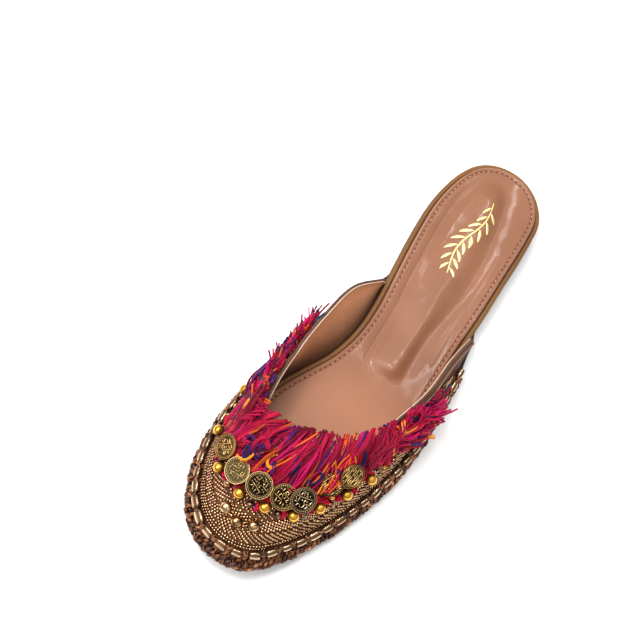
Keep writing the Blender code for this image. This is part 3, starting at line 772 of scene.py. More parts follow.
# ---- insole with its foam pad, fold and stitch line
insoleLook = {"inset": 0.0029, "stitchIn": 0.0022, "crease": 0.00016, "stitchDeep": 0.00045, "stitchPitch": 0.0028,
              "padEnd": 0.545, "flange": 0.0009, "uneven": 0.000032, "creaseWide": 0.0009, "across": 131,
              "stitchTone": (0.46, 0.25, 0.17)}
# share of the length, then the pad's medial foot, crest and lateral foot as shares of the ball width
padRows = np.array([(0.030, -0.150, -0.030, 0.030), (0.100, -0.175, 0.005, 0.115), (0.160, -0.195, 0.045, 0.165),
                    (0.240, -0.180, 0.066, 0.210), (0.317, -0.150, 0.078, 0.222), (0.352, -0.135, 0.083, 0.215),
                    (0.394, -0.110, 0.098, 0.200), (0.450, -0.088, 0.110, 0.188), (0.514, -0.072, 0.114, 0.205),
                    (0.560, -0.050, 0.105, 0.222)])
# creases, each a line of (share of the length, share of the ball width) points
creases = [[(.520, .076), (.495, .086), (.450, .096), (.410, .098)],
           [(.552, -.052), (.520, -.076), (.485, -.084), (.440, -.100)],
           [(.360, .072), (.315, .062), (.270, .055)], [(.262, .060), (.225, .052), (.190, .046)],
           [(.420, .262), (.365, .272), (.300, .280), (.240, .270)], [(.330, .288), (.260, .292), (.200, .262)],
           [(.150, -.262), (.112, -.238), (.090, -.205)], [(.470, .300), (.430, .292), (.400, .285)],
           [(.640, -.210), (.610, -.150), (.600, -.080)], [(.690, .250), (.660, .180)]]


# pad height: a low step at its medial foot, a slow rise to the crest, a steep fall to its lateral foot; outside it a
# second low foam swells between that foot and the stitch line
def padHeight(x, y):
    share = shareAlong(x)
    across = y / shoe["ballWidth"]
    row = through(padRows[:, 0], padRows[:, 1:], np.clip(share, padRows[0, 0], padRows[-1, 0]))
    medial, crest, lateral = row[..., 0], row[..., 1], row[..., 2]
    rise = 0.30 * ease(across, medial - 0.015, medial + 0.060) + 0.70 * ease(across, medial, crest + 0.010)
    fall = 1 - ease(across, crest - 0.010, lateral + 0.005)
    front = 1 - ease(share, insoleLook["padEnd"] - 0.020, insoleLook["padEnd"] + 0.006)
    back = ease(share, 0.045, 0.105)
    step = 0.13 * np.exp(-((across - medial + 0.018) / 0.016) ** 2) * ease(share, 0.08, 0.2)
    outer = ease(across, lateral - 0.02, lateral + 0.10) + ease(-across, 0.02 - medial, 0.10 - medial)
    flange = insoleLook["flange"] * outer * (1 - ease(share, 0.40, 0.62))
    return (shoe["pad"] * (rise * fall - step) * front * back) + flange


edgeLoop = boardEdge(np.linspace(0, 2 * pi, 1441)[:-1], np.zeros(1440))


# height of the creases: the greatest of h * exp(-(distance to the line / width)^2)
def creaseHeight(x, y):
    along = shareAlong(x) * shoe["boardLength"]
    best = np.full(np.shape(x), 1.0)
    for line in creases:
        knots = np.array(line) * [shoe["boardLength"], shoe["ballWidth"]]
        for start, end in zip(knots[:-1], knots[1:]):
            run = end - start
            t = np.clip(((along - start[0]) * run[0] + (y - start[1]) * run[1]) / (run @ run), 0, 1)
            best = np.minimum(best, np.hypot(along - start[0] - t * run[0], y - start[1] - t * run[1]))
    return insoleLook["crease"] * np.exp(-(best / insoleLook["creaseWide"]) ** 2)


# distance in plan from the board's edge
def edgeDistance(plan):
    parts = np.array_split(edgeLoop, 12)
    return np.min([np.linalg.norm(plan[:, None] - part[None], axis=2).min(axis=1) for part in parts], axis=0)


def insoleSurface(x, y):
    return boardTop(x) + shoe["gap"] + shoe["insole"] + padHeight(x, y)


def buildInsole():
    turns = np.linspace(0, pi, 441)
    inset = insoleLook["inset"]
    levels = [sidePair(turns, -inset - back, lambda x, up=up: boardTop(x) + shoe["gap"] + up)
              for back, up in ((0, 0), (0, 0.0009), (0.00025, 0.0014))]
    lateral, medial = levels[-1]
    across = np.linspace(0, 1, insoleLook["across"])
    across = 0.45 * (1 - np.cos(pi * across)) / 2 + 0.55 * across
    top = lateral[:, None] * (1 - across)[None, :, None] + medial[:, None] * across[None, :, None]
    flat = top.reshape(-1, 3)
    x, y = flat[:, 0], flat[:, 1]
    gap = edgeDistance(flat[:, :2]) - inset
    z = insoleSurface(x, y)
    z -= 0.0004 * (1 - ease(gap, 0.0002, 0.0011))
    z -= insoleLook["stitchDeep"] * np.exp(-((gap - insoleLook["stitchIn"]) / 0.00055) ** 2)
    z += creaseHeight(x, y)
    z += insoleLook["uneven"] * np.sin(430 * x + 310 * y + 1.1) * np.sin(560 * y - 240 * x + 0.4)
    rim = np.zeros(top.shape[:2], bool)
    rim[[0, -1]] = rim[:, [0, -1]] = True
    flat[:, 2] = np.where(rim.ravel(), flat[:, 2], z)
    points, quads = layered(levels, flat.reshape(top.shape))

    # painted shade under both wings, toward the toe and in the pad's lateral valley
    share, side = shareAlong(x), y / shoe["ballWidth"]
    wing = ease(share, 0.50, 0.66)
    paintedInsoleShade = 0.42 * wing * (1 - ease(side, -0.46, -0.20)) + 0.30 * wing * ease(side, 0.22, 0.46)
    paintedInsoleShade += 0.45 * ease(share, 0.80, 0.92)
    paintedInsoleShade += 0.16 * ease(share, 0.36, 0.42) * (1 - ease(share, 0.54, 0.66)) * ease(side, 0.05, 0.16)
    groove = 0.75 * np.exp(-((gap - insoleLook["stitchIn"]) / 0.0004) ** 2)
    # the edge mark paints a highlight along the insole's folded edge
    marks = {"groove": (0.6, groove), "edge": (0.5, 1 - ease(gap, 0.0003, 0.0009)),
             # the front mark lowers the lacquer toward the toe and lightens the tone there as painted light
             "front": (0, 0.6 * wing * (1 - groove)), "paintedInsoleShade": (0, np.clip(paintedInsoleShade, 0, 0.6))}
    extra = len(points) - len(flat)
    marks = {name: np.concatenate([np.full(extra, below), over]) for name, (below, over) in marks.items()}
    sock = newPiece("insole_sock", points, quads, [insoleLeather], "insole_leather", ("insole",),
                    marks=marks, weld=True, sharp=70)


# floor of the stitch groove, where the vamp leaves it open to view
def grooveFloor(plan):
    return np.column_stack([plan, insoleSurface(plan[:, 0], plan[:, 1]) - insoleLook["stitchDeep"]])


# true where the vamp hides the insole from above
def vampCover(plan):
    return shareAlong(plan[:, 0]) > 0.90


# stitches on the floor of the groove, and flat dark lentils between them: painted shade standing in for needle holes
def buildInsoleStitches():
    inward = insoleLook["inset"] + insoleLook["stitchIn"]
    loop = boardEdge(np.linspace(0, 2 * pi, 3000), np.full(3000, -inward))
    run = runAlong(loop)
    count = int(run[-1] / insoleLook["stitchPitch"])
    at = (np.arange(count) + 0.5) * run[-1] / count
    plan, ahead = pointsAt(at, run, loop), pointsAt(at + 0.0004, run, loop)
    shown = ~vampCover(plan)
    floor = grooveFloor(plan[shown])
    axes = framesOf(grooveFloor(ahead[shown]) - floor, upAxis)
    grain = [(-0.5, 0.02), (-0.42, 0.6), (-0.15, 1.0), (0.15, 1.0), (0.42, 0.6), (0.5, 0.02)]
    shape, quads = turnedShape(grain, 6)
    size = np.array([0.0017, 0.00034, 0.00024]) * scatter(0.08, len(floor))
    points, faces = copies(shape, quads, floor + [0, 0, 0.00010], axes, size)
    newPiece("insole_stitches", points, faces, [stitchThread], "insole_leather", uv=turnedUv(shape, 1.9),
             tint=np.array(insoleLook["stitchTone"]) * scatter(0.10, len(floor)))

    plan = pointsAt(at + run[-1] / count / 2, run, loop)
    floor = grooveFloor(plan[~vampCover(plan)])
    axes = framesOf(np.tile(upAxis, (len(floor), 1)), np.array([1.0, 0, 0]))
    shape, quads = turnedShape([(-0.5, 0.02), (-0.3, 0.8), (0.0, 1.0), (0.3, 0.8), (0.5, 0.02)], 8)
    points, faces = copies(shape, quads, floor + [0, 0, 0.00008], axes, np.array([0.00016, 0.00062, 0.00062]))
    newPiece("insole_needle_holes", points, faces, [paintedHoleShade], "insole_leather")


# a plain matt finish of two tones
def plainFinish(name, roughness, scale, first, second):
    material, tree, shader = newFinish(name, roughness)
    grain = groupOf(tree, grainGroup, Scale=scale)
    feed(tree, shader, Base_Color=mixColours(tree, grain["Tone"], first, second))
    return material


paintedHoleShade = plainFinish("needle_hole", 0.8, 1500.0, (0.060, 0.018, 0.009, 1), (0.11, 0.034, 0.016, 1))
buildInsole()
buildInsoleStitches()
print("stage: insole built")

# ---- upper shell, collar roll, rim rope
upperLook = {"around": 361, "up": 59}


def buildUpper():
    ways = evenWays(0, 1, 0.35, upperLook["around"])[0]
    around, up = np.meshgrid(ways, np.linspace(0, 1, upperLook["up"]), indexing="ij")
    outer = skinPoint(around, up)
    normal = skinNormal(around, up)
    normal[:, 0] = unit(normal[:, 0] * [1, 1, 0])
    inner = outer - normal * shoe["wall"]
    rows, columns = around.shape
    skin, inside = gridFaces(rows, columns), rows * columns
    edges = []
    for start, step, count in ((0, columns, rows), (columns - 1, columns, rows),
                               (0, 1, columns), ((rows - 1) * columns, 1, columns)):
        a = start + step * np.arange(count - 1)
        edges.append(np.stack([a, a + step, inside + a + step, inside + a], axis=-1))
    quads = np.concatenate([skin, skin[:, ::-1] + inside] + edges)
    slots = np.zeros(len(quads))
    slots[len(skin):2 * len(skin)] = 1
    uv = gridUv(runAlong(outer[:, 20]) * 1000, runAlong(outer[rows // 2]) * 1000)
    newPiece("vamp_shell", np.concatenate([outer.reshape(-1, 3), inner.reshape(-1, 3)]), quads,
             [upperCloth, liningSkin], "upper_fabric", ("upper",), uv=uv, faceSlots=slots, weld=True, sharp=60,
             marks={"rise": up.ravel()})


# one tube along points, its UV in millimetres along and in turns round
def tubeAlong(points, radii, sides, guide):
    made, faces = tubes(points[None], radii, sides, guide)
    return made, faces, gridUv(runAlong(points) * 1000, np.arange(sides) / sides)


pipingLook = {"radius": 0.00060, "paleRadius": 0.00036, "lowRadius": 0.00050, "down": 0.0020, "lowFrom": 0.86,
              "pale": (0.05, 1.0, 0.28)}


# a dark rolled edge on the wall's rim, a thin pale cord on its inner side and a second roll under it on the
# lateral wing
def buildPiping():
    look, steps = pipingLook, 421
    ways = evenWays(0, 1, 1.0, steps)[0]
    edge = skinPoint(ways, 1.0)
    normal = skinNormal(ways, 0.995)
    leave = unit(edge - skinPoint(ways, 0.98))
    centre = edge - normal * shoe["wall"] / 2 + leave * (shoe["gap"] + look["radius"])
    radii = look["radius"] * (1 + 0.05 * np.sin(np.linspace(0, 260, steps)))
    inner = edge - normal * (shoe["wall"] - 0.0002) + leave * 0.0006
    wing = ways > look["lowFrom"]
    low = (edge - leave * look["down"] + normal * (look["lowRadius"] * 0.55))[wing]
    made = [tubeAlong(centre, radii, 12, normal), tubeAlong(inner, look["paleRadius"], 8, normal),
            tubeAlong(low, look["lowRadius"], 10, normal[wing])]
    points, quads = joined([part[:2] for part in made])
    pale = np.repeat(look["pale"], [len(part[0]) for part in made])
    newPiece("collar_roll", points, quads, [pipingCloth], "piping_fabric", ("collar_piping",),
             uv=np.concatenate([part[2] for part in made]), marks={"pale": pale})


ropeLook = {"twist": 0.0042, "strand": 0.00105, "swell": 0.0009, "knotPitch": 0.00215, "whip": 0.0042,
            "seedPitch": 0.0021, "dark": (0.095, 0.042, 0.030), "warm": (0.22, 0.086, 0.041),
            "copper": (0.45, 0.190, 0.088)}


# two strands on a helix of one twist about the rim's middle line, one dark and one copper, and copper seeds
# above them
def buildRope():
    r = shoe["cordRadius"]
    steps = int(rimWays(2)[1] / ropeLook["twist"] * 11)
    line = besideSkin(rimWays(steps)[0], r, shoe["gap"] + r)
    along = unit(np.gradient(line, axis=0))
    side = unit(np.cross(upAxis, along))
    up = np.cross(along, side)
    run = runAlong(line)
    slow = np.interp(run, np.linspace(0, run[-1], 60), 1 + 0.10 * dice.standard_normal(60))
    strands, tones = [], []
    for k, colour in enumerate((ropeLook["dark"], ropeLook["warm"])):
        turn = 2 * pi * run / ropeLook["twist"] + pi * k
        out = side * np.cos(turn)[:, None] + up * np.sin(turn)[:, None]
        path = line + out * (r - ropeLook["strand"] * 0.92)
        radii = ropeLook["strand"] * slow * (1 + 0.13 * dice.standard_normal(steps))
        strands.append(tubeAlong(path, radii, 10, np.array([0.05, 0.1, 1.0])))
        patch = np.clip(1 + 0.45 * dice.standard_normal(220), 0.3, 2.2)
        patch = np.interp(run, np.linspace(0, run[-1], 220), patch)
        tones.append(np.clip(np.array(colour) * patch[:, None], 0, 1))
    points, faces = joined([strand[:2] for strand in strands])
    newPiece("rim_rope", points, faces, [ropeThread], "cord_fabric", ("rim_cord",), tint=np.concatenate(tones),
             uv=np.concatenate([strand[2] for strand in strands]))

    small = rimWays(int(run[-1] / ropeLook["seedPitch"]))[0]
    crevice = besideSkin(small, 0.0009, shoe["gap"] + 2 * r + 0.0002)
    outwards = levelOut(small, 0.05)
    shape, quads = turnedShape([(-0.5, 0.02), (-0.36, 0.75), (0.0, 1.0), (0.36, 0.75), (0.5, 0.02)], 6)
    axes = framesOf(outwards + dice.normal(0, 0.25, outwards.shape), upAxis)
    size = np.array([0.0022, 0.00085, 0.00085])
    points, faces = copies(shape, quads, crevice + outwards * 0.0007, axes, size)
    tone = np.array(ropeLook["copper"]) * (0.35 + 0.9 * dice.random((len(small), 1)))
    newPiece("rim_crevice_seeds", points, faces, [seedGlass], "cord_fabric", tint=tone)


cupLook = {"pitch": 0.0072, "length": 0.0051, "flutes": 5, "depth": 0.24, "knots": 5,
           "knot": (0.31, 0.130, 0.055), "thread": (0.50, 0.20, 0.06), "darkThread": (0.075, 0.026, 0.014)}


# fluted barrel about x: radius = belly(x) * (1 - depth / 2 * (1 - cos(flutes * turn))), its ends without flutes
def barrelShape():
    x = np.array([-0.30, -0.47, -0.5, -0.46, -0.25, 0.0, 0.25, 0.46, 0.5, 0.47, 0.30])
    belly = np.array([0.30, 0.36, 0.62, 0.86, 0.97, 1.0, 0.97, 0.86, 0.62, 0.36, 0.30])
    sides = cupLook["flutes"] * 4
    turn = 2 * pi * np.arange(sides) / sides
    wave = np.cos(cupLook["flutes"] * turn)
    radius = belly[:, None] * (1 + cupLook["depth"] * (wave - 1) * 0.5 * (belly[:, None] > 0.5))
    along = np.broadcast_to(x[:, None], radius.shape)
    points = np.stack([along, radius * np.cos(turn), radius * np.sin(turn)], axis=-1)
    # painted shade in the flute grooves and on the narrow ends
    patinaAndPaintedShade = ease(0.5 - 0.5 * wave, 0.02, 0.62) * 0.97 + 0 * radius
    patinaAndPaintedShade = np.where(belly[:, None] < 0.75, 0.9, patinaAndPaintedShade)
    points = points.reshape(-1, 3)
    return points, outward(points, tubeFaces(len(x), sides)), patinaAndPaintedShade.ravel()


def cupLift(ways):
    return shoe["cupHeight"] + shoe["cupClimb"] * ease(ways, 0.50, 0.65)


def cupLine(count):
    ways, run = rimWays(count, 0.1)
    return ways, besideSkin(ways, shoe["cupRadius"], cupLift(ways)), run


# cups along the rim, fatter round the toe, and knots of thread in the gaps: turns about a short upright core
def buildCups():
    count = int(round(cupLine(3)[2] / cupLook["pitch"])) + 1
    ways, line, run = cupLine(2 * count - 1)
    along = np.gradient(line, axis=0)
    out = skinNormal(ways, 0.12)
    axes = framesOf(unit(along) + dice.normal(0, 0.05, (len(line), 3)), out)
    cups, gaps = np.arange(0, 2 * count - 1, 2), np.arange(1, 2 * count - 1, 2)
    shape, quads, patinaAndPaintedShade = barrelShape()
    fat = 1 - ease(ways[cups], 0.50, 0.62)
    size = np.column_stack([cupLook["length"] * (0.88 + 0.12 * fat), shoe["cupRadius"] * (0.98 + 0.24 * fat),
                            shoe["cupRadius"] * (0.95 + 0.05 * fat)])
    points, faces = copies(shape, quads, line[cups], axes[cups], size * scatter(0.05, count))
    tone = (1 + 0.14 * dice.standard_normal((count, 1)) * [1, 1.2, 1.5])[:, None]
    # painted light: each cup lighter on its side away from the skin, darker toward it
    tone = tone * (0.42 + 0.74 * ease(shape[:, 2], -0.35, 0.65))[None, :, None]
    newPiece("cup_barrels", points, faces, [cupGold], "cup_metal", ("cup_beads",), tint=np.clip(tone, 0.1, 1.2),
             marks={"patinaAndPaintedShade": patinaAndPaintedShade})

    n, steps = cupLook["knots"], 9
    k = np.arange(n) - (n - 1) / 2
    t = np.linspace(0, 1, steps)[None, None, :, None]
    o, a = out[gaps][:, None, None], unit(along[gaps])[:, None, None]
    u = np.cross(o, a)
    u = u * np.sign(u[..., 2:])
    turn = (t - 0.5) * 2.5
    knots = line[gaps][:, None, None] + a * (np.sin(turn) * 0.00115) + o * (np.cos(turn) * 0.00125 - 0.0006)
    knots = knots + u * (k * 0.00074)[None, :, None, None]
    knots = knots + u * (dice.normal(0, 0.00055, (len(gaps), n, 1, 1)) * (2 * t - 1))
    knots = knots + o * dice.normal(0, 0.0002, (len(gaps), n, 1, 1))
    knots = knots.reshape(-1, steps, 3)
    points, faces = tubes(knots, 0.00036, 6, np.array([0.3, 0.1, 1.0]))
    tone = np.array(cupLook["knot"]) * (0.18 + 1.3 * dice.random((len(knots), 1)) ** 1.6)
    newPiece("cup_knots", points, faces, [zariThread], "cord_fabric", tint=tone, uv=tubeUv(4, steps))


# how far the thread work swells the rope: most round the medial side and the toe
def ropeSwell(ways):
    return ropeLook["swell"] * (1 - ease(ways, 0.52, 0.68))


# points round the rope: its middle line, then out and up by the cosine and sine of an angle times a radius
def roundRope(ways, angle, radius):
    r = shoe["cordRadius"]
    middle = besideSkin(ways, r, shoe["gap"] + r)
    out = levelOut(ways, 0.02)
    along = unit(np.gradient(middle, axis=0))
    angle, radius = np.broadcast_arrays(angle, radius)
    turned = out[:, None] * (np.cos(angle) * radius)[..., None] + upAxis * (np.sin(angle) * radius)[..., None]
    return middle[:, None] + turned, out, along


# knots of wound thread in staggered rows round the outside of the rope, with painted highlights and painted shade
def buildRopeKnots():
    run = rimWays(2)[1]
    count = int(run / ropeLook["knotPitch"])
    ways = rimWays(count)[0]
    shape, quads = turnedShape([(-1.0, 0.30), (-0.62, 0.80), (0.0, 1.0), (0.62, 0.80), (1.0, 0.30)], 8)
    rows = []
    for row, angle in enumerate((104, 58, 14, -32)):
        at = ways + (ways[1] - ways[0]) * (0.5 * (row % 2) + dice.normal(0, 0.10, count))
        angles = np.radians(angle) + dice.normal(0, 0.10, count)
        reach = shoe["cordRadius"] + ropeSwell(at) + dice.normal(0.0001, 0.00022, count)
        place, out, along = roundRope(at, angles[:, None], reach[:, None])
        turned = out * -np.sin(angles)[:, None] + upAxis * np.cos(angles)[:, None]
        leaning = along + turned * (0.85 + dice.normal(0, 0.25, (count, 1)))
        size = np.array([0.00172, 0.00098, 0.00094]) * scatter(0.17, count).clip(0.6, 1.5)
        rows.append((place[:, 0], framesOf(leaning, np.cross(along, turned)), size))
    places, axes, sizes = (np.concatenate(parts) for parts in zip(*rows))
    points, faces = copies(shape, quads, places, axes, sizes)
    bright = dice.random((len(places), 1))
    tone = np.where(bright < 0.48, ropeLook["warm"], ropeLook["dark"])
    tone = np.where(bright < 0.20, ropeLook["copper"], tone)
    tone = tone * (0.55 + 0.8 * dice.random((len(places), 1)))
    # painted light: each knot lighter across its crown, darker at its ends and on its far side
    paintedHighlight = (1 - ease(np.abs(shape[:, 0]), 0.1, 0.95)) * ease(shape[:, 2], -0.5, 0.9)
    tone = tone[:, None] * (0.30 + 1.35 * paintedHighlight)[None, :, None]
    newPiece("rope_knots", points, faces, [ropeThread], "cord_fabric", tint=np.clip(tone, 0, 1),
             uv=turnedUv(shape, 1.2))
    buildRopeTurns(int(run / ropeLook["whip"]))


# thin copper turns of thread laid round the rope, each with its own slant
def buildRopeTurns(count, steps=8):
    ways = rimWays(count)[0]
    angles = np.radians(np.linspace(128, -62, steps))[None] + dice.normal(0, 0.08, (count, 1))
    reach = shoe["cordRadius"] + 0.0006 + ropeSwell(ways)[:, None] + dice.normal(0, 0.00012, (count, steps))
    paths, out, along = roundRope(ways, angles, reach)
    t = np.linspace(-0.5, 0.5, steps)[None, :, None]
    paths = paths + along[:, None] * t * (0.0016 + dice.normal(0, 0.0016, (count, 1, 1)))
    points, faces = tubes(paths, 0.00033 * scatter(0.15, count), 6, along[:, None])
    tone = np.array(ropeLook["copper"]) * (0.30 + 0.9 * dice.random((count, 1)))
    newPiece("rope_turns", points, faces, [ropeThread], "cord_fabric", tint=np.clip(tone, 0, 1),
             uv=tubeUv(8, steps))


# slanting stitches from the cups down to the rope, crossing in Vs on the skin of the vamp
def buildStitches():
    start = wayAt(shoe["cordStart"])
    ends = (start + 0.004, 0.996 - start, 0.05)
    count = int(evenWays(*ends, 2)[1] / 0.0012)
    ways = evenWays(*ends, count)[0]
    lean = np.where(np.arange(count) % 2, 1.0, -1.0) * 0.0052 + dice.normal(0, 0.0008, count)
    t = np.linspace(0, 1, 8)[None]
    way = ways[:, None] + lean[:, None] * t
    top, low = cupLift(ways) - 0.0006, 0.0034
    height = heightAfter(way, low + (top[:, None] - low) * t)
    lift = 0.0003 + 0.0007 * np.sin(pi * t) + 0.0003 * dice.random((count, 1))
    paths = skinPoint(way, height) + skinNormal(way, height) * lift[..., None]
    foot = levelOut(ways, 0.02)
    hook = paths[:, 0] + foot * (2 * shoe["cordRadius"] * 0.9) - np.array([0, 0, 0.0012])
    middle = paths[:, 0] + foot * shoe["cordRadius"] + np.array([0, 0, 0.0010])
    paths = np.concatenate([hook[:, None], middle[:, None], paths], axis=1)
    points, faces = tubes(paths, 0.00030 * scatter(0.15, count), 6, np.array([0.0, 0.05, 1.0]))
    bright = dice.random((count, 1)) < 0.42
    tone = np.where(bright, cupLook["thread"], cupLook["darkThread"]) * (0.6 + 0.6 * dice.random((count, 1)))
    newPiece("rim_stitches", points, faces, [zariThread], "cord_fabric", tint=tone,
             uv=tubeUv(9, paths.shape[1]))

# ---- seed bead embroidery on the vamp
# the foot factor is painted shade at the seeds' ends and sides, the crown factor a painted highlight on their tops
seedLook = {"pitch": 0.00132, "apart": 0.00142, "radius": 0.00062, "bands": 5, "bandWide": 0.0062,
            "slant": radians(33), "tone": (0.70, 0.375, 0.19), "foot": 0.24, "paintedHighlight": (1.40, 1.42, 1.46)}
# top of the beaded field: way round, height
seedTop = np.array([
    (0, .25), (.05, .42), (.09, .68), (.14, .76), (.165, .74), (.195, .64), (.235, .58), (.288, .56), (.33, .60),
    (.403, .60), (.48, .63), (.55, .63), (.60, .61), (.665, .60), (.708, .60), (.777, .62), (.825, .61), (.858, .60),
    (.895, .70), (.93, .80), (.96, .70), (1, .25)])
fineWays, fineHeights = np.linspace(0, 1, 401), np.linspace(0, 1, 161)
fineRuns = [runAlong(rib) for rib in skinPoint(fineWays[:, None], fineHeights[None])]
lengthSteps = np.linspace(0, 0.045, 181)
heightTable = np.array([np.interp(lengthSteps, row, fineHeights) for row in fineRuns])


# height on the skin that lies a given length up the rib from the foot, read between the rows of a table
def heightAfter(ways, length):
    ways, length = np.broadcast_arrays(np.asarray(ways, float), np.asarray(length, float))
    a = np.clip(ways, 0, 1) * 400
    b = np.clip(length / lengthSteps[1], 0, 180)
    i, j = np.minimum(a.astype(int), 399), np.minimum(b.astype(int), 179)
    s, t = a - i, b - j
    low = heightTable[i, j] * (1 - t) + heightTable[i, j + 1] * t
    high = heightTable[i + 1, j] * (1 - t) + heightTable[i + 1, j + 1] * t
    return low * (1 - s) + high * s


# places on the vamp: way round, height, and for the coins how many others they lie on
goldPlaces = np.array([(.215, .460), (.283, .470), (.365, .545), (.455, .600), (.527, .615), (.605, .585),
                       (.665, .600), (.723, .600), (.772, .575)])
coinPlaces = np.array([(.330, .655, 0), (.403, .690, 0), (.480, .725, 1.5), (.550, .720, 0), (.600, .725, 1.5),
                       (.665, .810, 0), (.708, .845, 1.5)])
smallGoldPlaces = np.array([(.485, .648), (.595, .640), (.557, .640), (.715, .690), (.690, .645), (.253, .43),
                            (.24, .50), (.330, .53), (.425, .645), (.640, .655), (.752, .655), (.80, .56)])
crystalPlaces = np.array([(.410, .570), (.495, .585), (.565, .590), (.635, .560), (.695, .555), (.748, .585),
                          (.792, .600), (.818, .520), (.305, .475), (.345, .545), (.845, .55), (.262, .48),
                          (.19, .47)])
domePlaces = np.array([(.455, .455), (.497, .430), (.532, .465)])
tuftPlaces = np.array([(.515, .600), (.527, .665), (.580, .600), (.625, .590), (.675, .625), (.685, .675),
                       (.715, .580), (.302, .525), (.335, .520), (.388, .575), (.438, .605), (.650, .590),
                       (.655, .66), (.74, .56), (.27, .50), (.765, .62), (.81, .58)])


def aboveSkin(places, lift):
    way, height = places[:, 0], places[:, 1]
    return skinPoint(way, height) + skinNormal(way, height) * np.asarray(lift).reshape(-1, 1)


goldRadius, smallGoldRadius, crystalRadius, domeRadius = 0.0026, 0.00125, 0.0018, 0.0029
goldCentres = aboveSkin(goldPlaces, shoe["gap"] + goldRadius)
smallGoldCentres = aboveSkin(smallGoldPlaces, 0.0016)
crystalCentres = aboveSkin(crystalPlaces, 0.0014)
domeCentres = aboveSkin(domePlaces, 0.0013)


# length up the rib at which the first row of seeds clears the cups
def rimLength(ways):
    return cupLift(ways) + 0.0010 - 0.0011 * ease(ways, 0.54, 0.66)


# straight rows at a fixed length above the cups, then bands of slanting strings, each band leaning the other way
def seedPlaces():
    look, parts = seedLook, []

    def along(offset, start, end):
        fine = np.linspace(start, end, 500)
        return fine, runAlong(skinPoint(fine, heightAfter(fine, rimLength(fine) + offset)))

    for row in range(3):
        offset = row * look["apart"]
        fine, run = along(offset, 0.060, 0.945 if row < 2 else 0.46)
        at = np.arange(0, run[-1], look["pitch"])
        parts.append(np.column_stack([np.interp(at, run, fine), np.full(len(at), offset), np.zeros(len(at))]))
    sine, cosine = np.sin(look["slant"]), np.cos(look["slant"])
    for band in range(look["bands"]):
        low = look["apart"] * 1.9 + band * (look["bandWide"] + 0.0005)
        fine, run = along(low + look["bandWide"] / 2, 0.055, 0.95)
        first = np.arange(0, run[-1], look["apart"] / sine)
        step = (np.arange(int(look["bandWide"] / sine / look["pitch"])) + 0.5) * look["pitch"]
        lean = 1 if band % 2 else -1
        u = first[:, None] + lean * step[None] * cosine
        v = np.broadcast_to(low + step * sine, u.shape)
        inside = (u > 0) & (u < run[-1])
        way = np.interp(u, run, fine)
        if band == 0:
            inside &= (way > 0.46) | (v > low + look["apart"] * 0.8)
        parts.append(np.column_stack([way[inside], v[inside], np.full(inside.sum(), lean * look["slant"])]))
    rows = np.concatenate(parts)
    rows[:, 1] += rimLength(rows[:, 0])
    return rows


# seeds on their strings, left out where a bead, a stone or a cup sits; each has a painted highlight on its crown
# and painted shade toward the string holes and the foot
def buildSeeds():
    look = seedLook
    way, length, turned = seedPlaces().T
    height = heightAfter(way, length)
    keep = height < through(seedTop[:, 0], seedTop[:, 1], way) + dice.normal(0, 0.006, len(way))
    way, height, turned = way[keep], height[keep], turned[keep]
    places = skinPoint(way, height) + skinNormal(way, height) * look["radius"] * 0.86
    clear = np.ones(len(way), bool)
    for centres, radius in ((goldCentres, goldRadius), (domeCentres, domeRadius * 0.95),
                            (crystalCentres, crystalRadius * 0.8), (cupLine(400)[1], shoe["cupRadius"] * 0.9)):
        clear &= np.linalg.norm(places[:, None] - centres[None], axis=2).min(axis=1) > radius + look["radius"]
    way, height, turned, places = way[clear], height[clear], turned[clear][:, None], places[clear]
    normal, tangent = skinNormal(way, height), skinAlong(way, height)
    upward = np.cross(normal, tangent)
    climb = np.sum(upward * (skinPoint(way, height + 0.01) - skinPoint(way, height)), axis=1, keepdims=True)
    heading = tangent * np.cos(turned) + upward * (np.sin(turned) * np.where(climb > 0, 1, -1))
    axes = framesOf(heading + dice.normal(0, 0.07, heading.shape), normal)
    places = places + dice.normal(0, 0.00004, places.shape)
    shape, quads = turnedShape([(-0.5, 0.42), (-0.30, 0.86), (0.0, 1.0), (0.30, 0.86), (0.5, 0.42)], 6)
    size = np.array([look["pitch"] * 0.94, look["radius"], look["radius"]]) * scatter(0.05, len(places))
    tone = np.array(look["tone"]) * np.clip(scatter(0.28, len(places)), 0.3, 1.8)
    # painted shade: seeds darkened toward the medial side
    paintedMedialShade = 1 - 0.40 * (1 - ease(way, 0.30, 0.52))
    tone = tone * (1 + 0.05 * dice.standard_normal(tone.shape)) * paintedMedialShade[:, None]
    # painted light: each seed lighter on its crown, darker at its ends and sides
    paintedHighlight = ((1 - ease(np.abs(shape[:, 0]), 0.04, 0.48)) * ease(shape[:, 2], 0.02, 0.88))[None, :, None]
    for number, part in enumerate(np.array_split(np.arange(len(places)), 2)):
        points, faces = copies(shape, quads, places[part], axes[part], size[part])
        colour = tone[part][:, None] * (look["foot"] * (1 - paintedHighlight) + np.array(look["paintedHighlight"]) * paintedHighlight)
        newPiece("seed_beads_%d" % (number + 1), points, faces, [seedGlass], "bead_metal",
                 tint=np.clip(colour, 0, 1))


buildUpper()
buildPiping()
buildRope()
buildCups()
buildRopeKnots()
buildStitches()
print("stage: upper shell and rim built")
buildSeeds()
print("stage: seed beads sewn")

# ---- coins with a beaded rim and plain bars
coinLook = {"radius": 0.0059, "thickness": 0.0012, "relief": 0.00042, "rings": 50, "sides": 108,
            "overFringe": 0.0006 + 0.0026, "turns": (78, 30, -22, -30, -24, 22, 34),
            "tones": ((1.0, 0.82, 0.60), (0.86, 0.84, 0.74), (0.95, 0.88, 0.8), (1.0, 0.9, 0.72), (0.8, 0.8, 0.86),
                      (0.42, 0.32, 0.24), (0.50, 0.40, 0.29)),
            "darkness": (0.93, 0.88, 1.0, 1.0, 1.0, 0.97, 0.84)}


